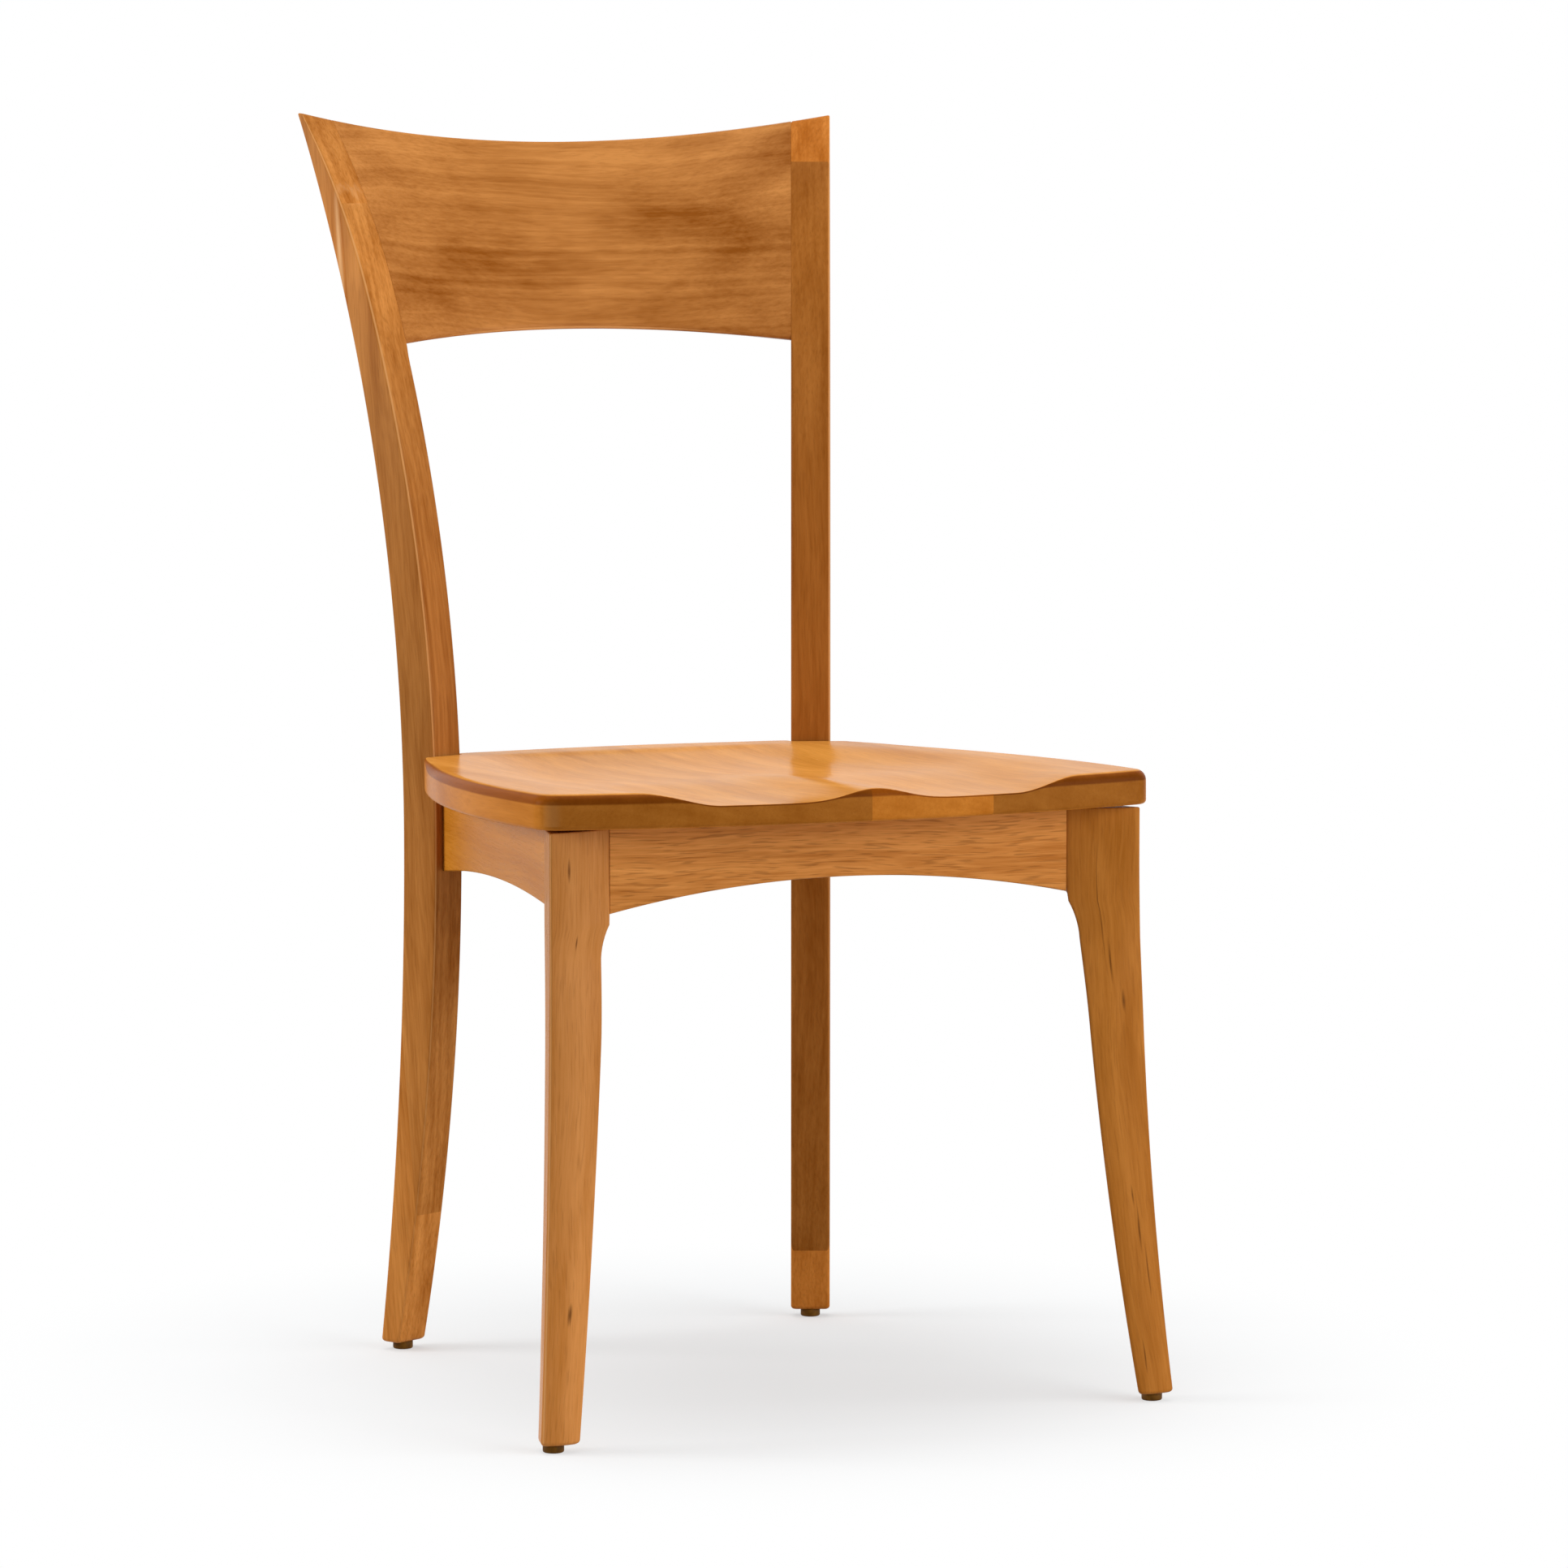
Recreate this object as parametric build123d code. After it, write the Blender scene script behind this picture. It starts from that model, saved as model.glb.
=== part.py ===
from build123d import *
import os
from math import cos, exp, radians, sin, sqrt, tan

# Wooden side chair: scooped saddle seat, sabre back posts in two planes that meet in one vertical axis,
# and a crest rail turned about that same axis. Millimetres, +Z up, the chair faces -Y.

# Seat
SEAT_HEIGHT = 453.4          # rim of the seat at Y = 0
SEAT_TILT = 0.75             # degrees, falling to the back
SEAT_THICKNESS = 25.0
SEAT_FRONT = -245.0          # middle of the front edge
SEAT_FRONT_RADIUS = 750.0
SEAT_CORNER_X = 238.5        # front corner before it is rounded
SEAT_SIDE_BULGE = 23.0
SEAT_PAST_POST = 12.0        # how far the seat stands out beside a post
SEAT_REAR = 206.0            # middle of the rear edge
SEAT_REAR_RADIUS = 600.0
SEAT_CORNER_RADIUS = 20.0
SEAT_TOP_ROUND = 5.0
SEAT_LOWER_ROUND = 3.0
SADDLE_STOCK = 0.6           # wood over the rim, taken off with the saddle
SEAT_GLUE_LINES = (-103.0, -4.0, 94.0)
SCOOP_DEPTH = 9.0
SCOOP_FRONT_HALF = 172.0     # half width of the scoop at the front edge
SCOOP_FRONT_RUN = 150.0      # length over which the scoop opens to its full width
SCOOP_SIDE_RIM = 26.0        # flat rim left beside the scoop
SCOOP_SIDE_RUN = 78.0        # width of the slope from rim to hollow
SCOOP_REAR_RIM = 40.0
SCOOP_REAR_RUN = 105.0
RIDGE_HALF_WIDTH = 40.0      # the ridge between the thighs
RIDGE_LENGTH = 215.0

# Back: posts and crest rail
BACK_SPLAY = 25.5            # degrees from the middle plane to each post
BACK_RADIUS = 315.0          # from the back's axis to the front of a post at its waist
BACK_AXIS_Y = -105.2
WAIST_BELOW_SEAT = 65.4      # where a post stands upright
POST_WIDTH = 30.0
POST_DEPTH = 33.4
POST_FRONT_UPPER_RADIUS = 1281.0
POST_FRONT_LOWER_RADIUS = 1839.0
POST_REAR_UPPER_RADIUS = 1460.0
POST_REAR_LOWER_RADIUS = 2930.0
HEAD_ABOVE_SEAT = 346.6      # from here up the front turns back faster
HEAD_RADIUS = 525.0
GLUE_BEHIND_WAIST = {"left": 48.4, "right": 61.9}    # glue plane of a post's blank, behind its waist front
GLUE_LEAN = 0.0935           # how far that plane leans back for each unit of height
CREST_ABOVE_SEAT = 452.6     # middle of the crest's top line
CREST_HEIGHT = 142.0         # at its middle
CREST_TOP_RADIUS = 1173.0
CREST_BOTTOM_RADIUS = 1404.0
CREST_ROUND = 3.5            # rounding of the lower front edge
DOWEL_DIAMETER = 8.0
DOWEL_LENGTH = 40.0
DOWEL_SHARES = (0.17, 0.55)  # places of the dowels up the crest

# Front legs: right-hand front corners in plan, inner then outer
LEG_FOOT = ((219.1, -227.0), (248.9, -225.6))
LEG_KNEE = ((187.2, -198.0), (232.4, -205.2))
LEG_HEAD = ((179.3, -188.0), (231.5, -203.5))
EAR_LENGTH = 34.0            # from the knee up to the square head
LEG_SABRE = (0.10, 0.18)     # bow of the leg as a share of its sweep, inner then outer
LEG_FOOT_DEPTH = 23.0
LEG_KNEE_DEPTH = 35.0
LEG_HEAD_DEPTH = 43.5
LEG_OUTER_LEAN = 18.5        # degrees, outer side running back and in
LEG_INNER_LEAN = 28.0        # degrees, inner side running back and out
LEG_FACE_CROWN = 3.0         # bulge of the front face
LEG_TOP_GAP = 2.2            # shadow gap under the seat

# Aprons
APRON_THICKNESS = 20.0
APRON_DEPTH = 61.9           # front apron beside a leg
FRONT_ARCH_SHARE = 0.30      # rise of its arch as a share of that
SIDE_APRON_THICKNESS = 18.0
SIDE_APRON_DEPTH = 51.0      # at the highest point of its arch
SIDE_APRON_APEX_FROM_LEG = 118.0
SIDE_APRON_RADIUS = 1800.0
SIDE_APRON_ON_POST = 22.0    # outer face of the side apron, from the post's inner face
SIDE_APRON_REVEAL = 1.0      # set in from the leg's outer rear corner
REAR_APRON_SETBACK = 6.0     # behind the front of the posts
REAR_APRON_DEPTH = 57.8
TENON_THICKNESS = 7.0
TENON_LENGTH = 20.0
TENON_SHOULDER = 9.0
SIDE_TENON_INSET = 3.0       # from the outer face, to keep inside the post
POST_TENON_LENGTH = 13.0
GLUE_GAP = 0.1

# Corner blocks and screws
BLOCK_ARM = 62.0             # along each apron, from the corner
BLOCK_CORNER_CUT = 22.0      # corner left open, clear of the leg
BLOCK_HEIGHT = 36.0
BLOCK_DROP = 4.0             # top of a block below the seat
SCREW_SETTING = 0.62         # place of a block's screws along its arm
SCREW_DIAMETER = 4.2
SCREW_HEAD_DIAMETER = 8.4
SCREW_HEAD_HEIGHT = 2.6
SCREW_GRIP = 14.0            # block left under a screw's head
SCREW_BITE = 12.0            # screw driven into an apron
SEAT_SCREW_BITE = 11.0       # screw driven into the seat
HOLE_CLEARANCE = 0.15

# Floor glides
GLIDE_HEIGHT = 6.0
GLIDE_DIAMETER = 15.0
GLIDE_ROUND = 1.5
LEG_GLIDE_FROM_FRONT = 10.0
LEG_GLIDE_SHARE = 0.55       # place across the foot, from its inner corner
NAIL_DIAMETER = 2.2
NAIL_HEAD_DIAMETER = 6.0
NAIL_HEAD_HEIGHT = 1.2
NAIL_RECESS = 1.8
NAIL_LENGTH = 18.0

FAR = 1200.0                 # reach of the cutting solids
CORNER_FINE = 0.01           # how near a vertex must lie to count as a corner
SCOOP_STEPS = 22


def arc_offset(radius, rise):
    """Sideways travel of an arc that starts upright, after the given rise."""
    return radius - sqrt(radius**2 - rise**2)


def mirrored(shape):
    return mirror(shape, about=Plane.YZ)


def smooth(value):
    """Eased step from 0 to 1."""
    t = min(max(value, 0.0), 1.0)
    return t * t * (3 - 2 * t)


def blend(a, b, share):
    """Point a share of the way from a to b, both in plan."""
    return (a[0] + (b[0] - a[0]) * share, a[1] + (b[1] - a[1]) * share)


def prism(points, bottom, top):
    """Upright block on a plan outline."""
    outline = make_face(Polyline(*points, close=True))
    return extrude(Pos(0, 0, bottom) * outline, amount=top - bottom, dir=(0, 0, 1))


def bar(start, direction, length, diameter):
    """Round bar from a start point along a direction."""
    return extrude(Plane(origin=start, z_dir=direction) * Circle(diameter / 2), amount=length, dir=direction)


def screw(seat_point, direction, length, grow=0.0):
    """Wood screw with its head's underside on a point; a grown one is the hole for it."""
    shank = bar(seat_point, direction, length + grow, SCREW_DIAMETER + 2 * grow)
    return shank + bar(seat_point, -direction, SCREW_HEAD_HEIGHT, SCREW_HEAD_DIAMETER + 2 * grow)


# Heights, all taken from the seat
def seat_bottom(y):
    return SEAT_HEIGHT - SEAT_THICKNESS / cos(radians(SEAT_TILT)) - y * tan(radians(SEAT_TILT))


waist_height = SEAT_HEIGHT - WAIST_BELOW_SEAT
head_height = SEAT_HEIGHT + HEAD_ABOVE_SEAT
crest_mid_top = SEAT_HEIGHT + CREST_ABOVE_SEAT
crest_mid_bottom = crest_mid_top - CREST_HEIGHT
ear_height = seat_bottom(LEG_HEAD[0][1]) - APRON_DEPTH
knee_height = ear_height - EAR_LENGTH

# The back's axis: both posts' planes pass through it and the crest rail turns about it.
splay = radians(BACK_SPLAY)
post_dir = Vector(sin(splay), cos(splay), 0)         # front to back within the right post
post_out = Vector(cos(splay), -sin(splay), 0)        # across the right post, outwards
back_axis = Axis((0, BACK_AXIS_Y, 0), (0, 0, 1))
post_plane = Plane(origin=(0, BACK_AXIS_Y, 0), x_dir=post_dir, z_dir=post_out)


def on_post(back, out, height=0.0):
    """Point of the right post: behind its waist front, out from its inner face, and up."""
    return Vector(0, BACK_AXIS_Y, height) + post_dir * (BACK_RADIUS + back) + post_out * out


def post_inner_x(y):
    """X of the right post's inner face at a given Y."""
    return (y - BACK_AXIS_Y) * tan(splay)


def post_slab(near, far, inner=-FAR, outer=FAR):
    """Everything between two planes across the right post, and between two along it."""
    corners = [on_post(near, inner), on_post(far, inner), on_post(far, outer), on_post(near, outer)]
    return prism([(p.X, p.Y) for p in corners], -FAR, FAR)


def post_front(height):
    """How far the post's front lies behind its waist front."""
    if height < waist_height:
        return arc_offset(POST_FRONT_LOWER_RADIUS, waist_height - height)
    if height <= head_height:
        return arc_offset(POST_FRONT_UPPER_RADIUS, height - waist_height)
    rise = head_height - waist_height
    lean = rise / POST_FRONT_UPPER_RADIUS            # sine of the lean where the head's arc starts
    swing = (height - head_height) / HEAD_RADIUS + lean
    turn = HEAD_RADIUS * (sqrt(1 - lean**2) - sqrt(1 - swing**2))
    return arc_offset(POST_FRONT_UPPER_RADIUS, rise) + turn


def post_rear(height):
    radius = POST_REAR_UPPER_RADIUS if height > waist_height else POST_REAR_LOWER_RADIUS
    return POST_DEPTH + arc_offset(radius, abs(height - waist_height))


def back_profile(bottom, top):
    """Side profile of the back between two heights, a face on the right post's inner plane."""
    def arcs(line, breaks):
        inside = [z for z in breaks if bottom < z < top]
        heights = [bottom] + inside + [top]
        spans = zip(heights, heights[1:])
        return [ThreePointArc(*[(BACK_RADIUS + line(z), z) for z in (a, (a + b) / 2, b)]) for a, b in spans]

    front = arcs(post_front, (waist_height, head_height))
    rear = arcs(post_rear, (waist_height,))
    ends = [Line((BACK_RADIUS + post_front(z), z), (BACK_RADIUS + post_rear(z), z)) for z in (bottom, top)]
    return post_plane * make_face(front + rear + ends)


def before_glue(side):
    """Everything in front of the leaning glue plane of a post's blank."""
    base = BACK_RADIUS + GLUE_BEHIND_WAIST[side]
    low, high = [(base + GLUE_LEAN * rise, waist_height + rise) for rise in (-FAR, FAR)]
    outline = make_face(Polyline(low, high, (-FAR, high[1]), (-FAR, low[1]), close=True))
    return extrude(post_plane.offset(-FAR) * outline, amount=2 * FAR, dir=post_out)


# The crest's top line and its arched lower edge, as cutters that run front to back
def lying_cylinder(axis_height, radius):
    return Pos(0, 0, axis_height) * Rot(90, 0, 0) * Cylinder(radius, FAR)


blank_top = crest_mid_top + arc_offset(CREST_TOP_RADIUS, SEAT_CORNER_X)
blank_bottom = crest_mid_bottom - arc_offset(CREST_BOTTOM_RADIUS, SEAT_CORNER_X)
over_crest = lying_cylinder(crest_mid_top + CREST_TOP_RADIUS, CREST_TOP_RADIUS)
under_crest = lying_cylinder(crest_mid_bottom - CREST_BOTTOM_RADIUS, CREST_BOTTOM_RADIUS)

# Seat: drawn flat with its rim at height 0, then laid at its tilt.
seat_place = Pos(0, 0, SEAT_HEIGHT) * Rot(-SEAT_TILT, 0, 0)
over_seat_bottom = seat_place * Pos(0, 0, FAR / 2 - SEAT_THICKNESS) * Box(FAR, FAR, FAR)


notch_front = post_front(seat_bottom(on_post(0, 0).Y)) - GLUE_GAP
seat_corner = (SEAT_CORNER_X, SEAT_FRONT + arc_offset(SEAT_FRONT_RADIUS, SEAT_CORNER_X))
horn = on_post(notch_front, POST_WIDTH + SEAT_PAST_POST)


def seat_side(y):
    """Half width of the seat at a given Y, on its bulged side."""
    t = (y - seat_corner[1]) / (horn.Y - seat_corner[1])
    return SEAT_CORNER_X + (horn.X - SEAT_CORNER_X) * t + 4 * SEAT_SIDE_BULGE * t * (1 - t)


def scoop(x, y):
    """Depth of the saddle: a hollow inside the rim, parted at the front by a ridge."""
    front_share = smooth((SEAT_FRONT + SCOOP_FRONT_RUN - y) / SCOOP_FRONT_RUN)
    half = (seat_side(y) - SCOOP_SIDE_RIM) * (1 - front_share) + SCOOP_FRONT_HALF * front_share
    side = smooth((half - abs(x)) / SCOOP_SIDE_RUN)
    rear = smooth((SEAT_REAR - SCOOP_REAR_RIM - y) / SCOOP_REAR_RUN)
    ridge = smooth((SEAT_FRONT + RIDGE_LENGTH - y) / RIDGE_LENGTH) * exp(-(x / RIDGE_HALF_WIDTH)**2)
    return SCOOP_DEPTH * side * rear * (1 - ridge)


def seat_blank():
    """Flat seat with rounded edges; its rear corners run on into the posts' notches."""
    tail_y = horn.Y + POST_WIDTH / 4
    tail = (seat_side(tail_y), tail_y)
    rear_x = post_inner_x(SEAT_REAR) + POST_WIDTH / 4
    rear_tail = (rear_x, SEAT_REAR - arc_offset(SEAT_REAR_RADIUS, rear_x))
    middle_y = (seat_corner[1] + tail_y) / 2
    right = [ThreePointArc(seat_corner, (seat_side(middle_y), middle_y), tail), Line(tail, rear_tail)]
    front = ThreePointArc((-seat_corner[0], seat_corner[1]), (0, SEAT_FRONT), seat_corner)
    rear = ThreePointArc(rear_tail, (0, SEAT_REAR), (-rear_x, rear_tail[1]))
    outline = make_face([front, rear] + right + [mirrored(edge) for edge in right])
    front_corners = [v for v in outline.vertices() if abs(abs(v.X) - SEAT_CORNER_X) < CORNER_FINE]
    outline = fillet(front_corners, SEAT_CORNER_RADIUS)
    blank = extrude(Pos(0, 0, SADDLE_STOCK) * outline, amount=SEAT_THICKNESS + SADDLE_STOCK, dir=(0, 0, -1))
    blank = fillet(blank.faces().sort_by(Axis.Z)[-1].outer_wire().edges(), SEAT_TOP_ROUND)
    return fillet(blank.faces().sort_by(Axis.Z)[0].outer_wire().edges(), SEAT_LOWER_ROUND)


def under_scoop():
    """Solid below the saddle, whose upper face passes smoothly through points of the scoop."""
    half = SEAT_CORNER_X + SEAT_SIDE_BULGE
    rows = []
    for j in range(SCOOP_STEPS + 1):
        y = SEAT_FRONT + (SEAT_REAR - SEAT_FRONT) * (1.1 * j / SCOOP_STEPS - 0.05)
        xs = [half * (2 * i / SCOOP_STEPS - 1) for i in range(SCOOP_STEPS + 1)]
        rows.append([(x, y, -scoop(x, y)) for x in xs])
    surface = Face.make_surface_from_array_of_points(rows, tol=0.05)
    return extrude(surface, amount=-2 * SEAT_THICKNESS, dir=(0, 0, 1))


# Front leg: plan corners run inner front, outer front, outer back, inner back.
def leg_corners(front, depth):
    """Keystone section whose sides close in towards the back."""
    inner, outer = front
    back_y = outer[1] + depth
    outer_back = (outer[0] - depth * tan(radians(LEG_OUTER_LEAN)), back_y)
    inner_back = (inner[0] + (back_y - inner[1]) * tan(radians(LEG_INNER_LEAN)), back_y)
    return [inner, outer, outer_back, inner_back]


def leg_face(corners, height):
    """Section of the leg with its crowned front face."""
    inner, outer, outer_back, inner_back = corners
    across = (Vector(*outer) - Vector(*inner)).normalized()
    centre = blend(inner, outer, 0.5)
    crown = (centre[0] + across.Y * LEG_FACE_CROWN, centre[1] - across.X * LEG_FACE_CROWN)
    sides = [Line(outer, outer_back), Line(outer_back, inner_back), Line(inner_back, inner)]
    return Pos(0, 0, height) * make_face([ThreePointArc(inner, crown, outer)] + sides)


# The side apron's line in plan: from the leg's outer rear corner to the front of the post
leg_outer_back = leg_corners(LEG_HEAD, LEG_HEAD_DEPTH)[2]
apron_start = Vector(leg_outer_back[0] - SIDE_APRON_REVEAL, leg_outer_back[1], 0)
apron_end = on_post(0, SIDE_APRON_ON_POST)
apron_dir = (apron_end - apron_start).normalized()
apron_in = Vector(-apron_dir.Y, apron_dir.X, 0)      # towards the inside of the chair
apron_run = (apron_end - apron_start).length

# The leg's head is square to the side apron behind it and to the front apron beside it.
head_inner = LEG_HEAD[0]
head_back_y = leg_outer_back[1] + (head_inner[0] - leg_outer_back[0]) * apron_in.Y / apron_in.X
head_corners = [head_inner, LEG_HEAD[1], leg_outer_back, (head_inner[0], head_back_y)]
knee_corners = leg_corners(LEG_KNEE, LEG_KNEE_DEPTH)


def front_leg():
    """Right front leg: swept shaft, ear and square head."""
    shaft = []
    for share in (0.0, 0.25, 0.5, 0.75, 1.0):
        eased = [share + 4 * bow * share * (1 - share) for bow in LEG_SABRE]
        front = [blend(*ends) for ends in zip(LEG_FOOT, LEG_KNEE, eased)]
        depth = LEG_FOOT_DEPTH + (LEG_KNEE_DEPTH - LEG_FOOT_DEPTH) * share
        height = GLIDE_HEIGHT + (knee_height - GLIDE_HEIGHT) * share
        shaft.append(leg_face(leg_corners(front, depth), height))
    ear = []
    for share in (0.0, 0.3, 0.6, 0.8, 1.0):
        eased = smooth(share)
        corners = [blend(knee, head, eased) for knee, head in zip(knee_corners, head_corners)]
        corners[3] = blend(knee_corners[3], head_corners[3], smooth(2 * share - 1))
        ear.append(leg_face(corners, knee_height + EAR_LENGTH * share))
    head = extrude(leg_face(head_corners, ear_height), amount=SEAT_HEIGHT - ear_height, dir=(0, 0, 1))
    return loft(shaft) + loft(ear) + head - Pos(0, 0, -LEG_TOP_GAP) * over_seat_bottom


# Front apron
front_end = head_inner[0] - GLUE_GAP
front_y = head_inner[1]
front_inner_y = front_y + APRON_THICKNESS
arch_rise = APRON_DEPTH * FRONT_ARCH_SHARE
arch_radius = (head_inner[0]**2 + arch_rise**2) / (2 * arch_rise)


def front_tenons(grow=0.0):
    low = ear_height + TENON_SHOULDER - grow
    high = seat_bottom(front_y) - TENON_SHOULDER + grow
    size = (2 * (front_end + TENON_LENGTH + grow), TENON_THICKNESS + 2 * grow, high - low)
    return Pos(0, front_y + APRON_THICKNESS / 2, (low + high) / 2) * Box(*size)


def front_apron():
    """Board with an arched lower edge and a tenon on each end."""
    right = [(front_end, front_y), (front_end, front_inner_y)]
    left = [(-front_end, front_inner_y), (-front_end, front_y)]
    board = prism(right + left, ear_height, SEAT_HEIGHT)
    board -= lying_cylinder(ear_height + arch_rise - arch_radius, arch_radius)
    tenons = front_tenons() - Box(2 * front_end - 2 * TENON_SHOULDER, FAR, FAR)
    return board - over_seat_bottom + tenons


# Side aprons, drawn in a frame of their own: along the apron, into the chair, and up
side_apex = seat_bottom(apron_start.Y + apron_dir.Y * SIDE_APRON_APEX_FROM_LEG) - SIDE_APRON_DEPTH


def on_side(along, inward, height=0.0):
    return apron_start + apron_dir * along + apron_in * inward + Vector(0, 0, height)


def side_board(start, end, outer, inner, low, high):
    corners = [on_side(start, outer), on_side(end, outer), on_side(end, inner), on_side(start, inner)]
    return prism([(p.X, p.Y) for p in corners], low, high)


def side_tenons(grow=0.0):
    """One long bar: its ends are the side apron's two tenons."""
    low = side_apex + TENON_SHOULDER - grow
    high = seat_bottom(apron_end.Y) - TENON_SHOULDER + grow
    outer = SIDE_TENON_INSET - grow
    inner = SIDE_TENON_INSET + TENON_THICKNESS + grow
    return side_board(-TENON_LENGTH - grow, apron_run + POST_TENON_LENGTH + grow, outer, inner, low, high)


def side_apron():
    """Board with a gently arched lower edge, cut at the rear to the post's front."""
    board = side_board(GLUE_GAP, apron_run + POST_WIDTH, 0, SIDE_APRON_THICKNESS, knee_height, SEAT_HEIGHT)
    arch_centre = on_side(SIDE_APRON_APEX_FROM_LEG, -FAR / 2, side_apex - SIDE_APRON_RADIUS)
    board -= bar(arch_centre, apron_in, FAR, 2 * SIDE_APRON_RADIUS)
    board -= post_slab(-GLUE_GAP, FAR)
    return board - over_seat_bottom + side_tenons()


# Rear apron
rear_y = on_post(0, 0).Y + REAR_APRON_SETBACK
rear_back_y = rear_y + SIDE_APRON_THICKNESS
rear_apron_bottom = seat_bottom(rear_back_y) - REAR_APRON_DEPTH


def rear_tenons(grow=0.0):
    low = rear_apron_bottom + TENON_SHOULDER - grow
    high = seat_bottom(rear_back_y) - TENON_SHOULDER + grow
    middle_y = rear_y + SIDE_APRON_THICKNESS / 2
    size = (2 * (post_inner_x(middle_y) + POST_TENON_LENGTH + grow), TENON_THICKNESS + 2 * grow, high - low)
    return Pos(0, middle_y, (low + high) / 2) * Box(*size)


def rear_apron():
    """Straight board between the posts' inner faces."""
    front_x = post_inner_x(rear_y) - GLUE_GAP
    back_x = post_inner_x(rear_back_y) - GLUE_GAP
    board = prism([(-front_x, rear_y), (front_x, rear_y), (back_x, rear_back_y), (-back_x, rear_back_y)],
                  rear_apron_bottom, SEAT_HEIGHT)
    return board - over_seat_bottom + rear_tenons()


# Corner blocks, each against two aprons' inner faces
def inner_side_x(y):
    """X of the right side apron's inner face at a given Y."""
    point = on_side(0, SIDE_APRON_THICKNESS)
    return point.X + (y - point.Y) * apron_dir.X / apron_dir.Y


def corner_block(y, along):
    """Right-hand block at the apron face Y, its second arm running along +Y or -Y."""
    corner = Vector(inner_side_x(y), y, 0)
    to_middle = Vector(-1, 0, 0)
    to_side = apron_dir * along
    spots = [corner + to_middle * BLOCK_CORNER_CUT, corner + to_middle * BLOCK_ARM]
    spots += [corner + to_side * BLOCK_ARM, corner + to_side * BLOCK_CORNER_CUT]
    top = min(seat_bottom(p.Y) for p in spots) - BLOCK_DROP
    block = prism([(p.X, p.Y) for p in spots], top - BLOCK_HEIGHT, top)
    across = Vector(0, -along, 0)                    # into the front or rear apron
    outward = -apron_in                              # into the side apron
    middle_height = top - BLOCK_HEIGHT / 2
    foot_a = corner + to_middle * BLOCK_ARM * SCREW_SETTING + Vector(0, 0, middle_height)
    foot_b = corner + to_side * BLOCK_ARM * SCREW_SETTING + Vector(0, 0, middle_height)
    grips = [(foot_a - across * SCREW_GRIP, across), (foot_b - outward * SCREW_GRIP, outward)]
    centre = (spots[0] + spots[1] + spots[2] + spots[3]) * 0.25
    seat_grip = (Vector(centre.X, centre.Y, top - SCREW_GRIP), Vector(0, 0, 1))
    seat_length = seat_bottom(centre.Y) + SEAT_SCREW_BITE - seat_grip[0].Z
    block_screws = [screw(at, way, SCREW_GRIP + SCREW_BITE) for at, way in grips]
    seat_screw = screw(*seat_grip, seat_length)
    holes = [screw(at, way, SCREW_GRIP + SCREW_BITE, HOLE_CLEARANCE) for at, way in grips]
    seat_hole = screw(*seat_grip, seat_length, HOLE_CLEARANCE)
    well_diameter = SCREW_HEAD_DIAMETER + 2 * HOLE_CLEARANCE
    wells = [bar(at, -way, BLOCK_ARM, well_diameter) for at, way in grips + [seat_grip]]
    for cutter in holes + [seat_hole] + wells:
        block -= cutter
    return block, block_screws, seat_screw, holes, seat_hole


# Floor glide and its nail, under a foot's centre
def glide(centre):
    """Round pad with an eased lower edge and a recess for the nail's head."""
    base = (centre.X, centre.Y, 0)
    disc = bar(base, (0, 0, 1), GLIDE_HEIGHT, GLIDE_DIAMETER)
    disc = fillet(disc.edges().sort_by(Axis.Z)[0], GLIDE_ROUND)
    recess = bar(base, (0, 0, 1), NAIL_RECESS, NAIL_HEAD_DIAMETER + 2 * HOLE_CLEARANCE)
    return disc - nail(centre, HOLE_CLEARANCE) - recess


def nail(centre, grow=0.0):
    base = (centre.X, centre.Y, NAIL_RECESS - NAIL_HEAD_HEIGHT)
    head = bar(base, (0, 0, 1), NAIL_HEAD_HEIGHT, NAIL_HEAD_DIAMETER + 2 * grow)
    return head + bar(base, (0, 0, 1), NAIL_LENGTH + grow, NAIL_DIAMETER + 2 * grow)


# Crest dowels: across each joint of crest and post, in the middle of the wood
def dowel(height, grow=0.0):
    middle = (post_front(height) + post_rear(height)) / 2
    start = on_post(middle, -DOWEL_LENGTH / 2 - grow, height)
    return bar(start, post_out, DOWEL_LENGTH + 2 * grow, DOWEL_DIAMETER + 2 * grow)


parts = {}
dowel_heights = [crest_mid_bottom + CREST_HEIGHT * share for share in DOWEL_SHARES]
dowels = [dowel(z) for z in dowel_heights]
dowel_holes = [dowel(z, GLUE_GAP) for z in dowel_heights]
leg_glide_at = Vector(*blend(*LEG_FOOT, LEG_GLIDE_SHARE)) + Vector(0, LEG_GLIDE_FROM_FRONT, 0)
post_glide_at = on_post((post_front(GLIDE_HEIGHT) + post_rear(GLIDE_HEIGHT)) / 2, POST_WIDTH / 2)

# Front legs
leg = front_leg() - front_tenons(GLUE_GAP) - side_tenons(GLUE_GAP) - nail(leg_glide_at, HOLE_CLEARANCE)
parts["front_leg_right"] = leg
parts["front_leg_left"] = mirrored(leg)

# Back posts, each parted by its blank's glue plane: the rear plank is left only in the foot and the head
post = extrude(back_profile(GLIDE_HEIGHT, blank_top), amount=POST_WIDTH, dir=post_out) - over_crest
post_nail_hole = nail(post_glide_at, HOLE_CLEARANCE)
for cutter in dowel_holes + [side_tenons(GLUE_GAP), rear_tenons(GLUE_GAP), post_nail_hole]:
    post -= cutter
for side in ("left", "right"):
    front_plank = before_glue(side)
    rear_plank = (post - front_plank).solids().sort_by(Axis.Z)
    staves = {"main": post & front_plank, "foot": rear_plank[0], "head": rear_plank[-1]}
    for name, stave in staves.items():
        parts[f"back_post_{side}_{name}"] = mirrored(stave) if side == "left" else stave

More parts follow.
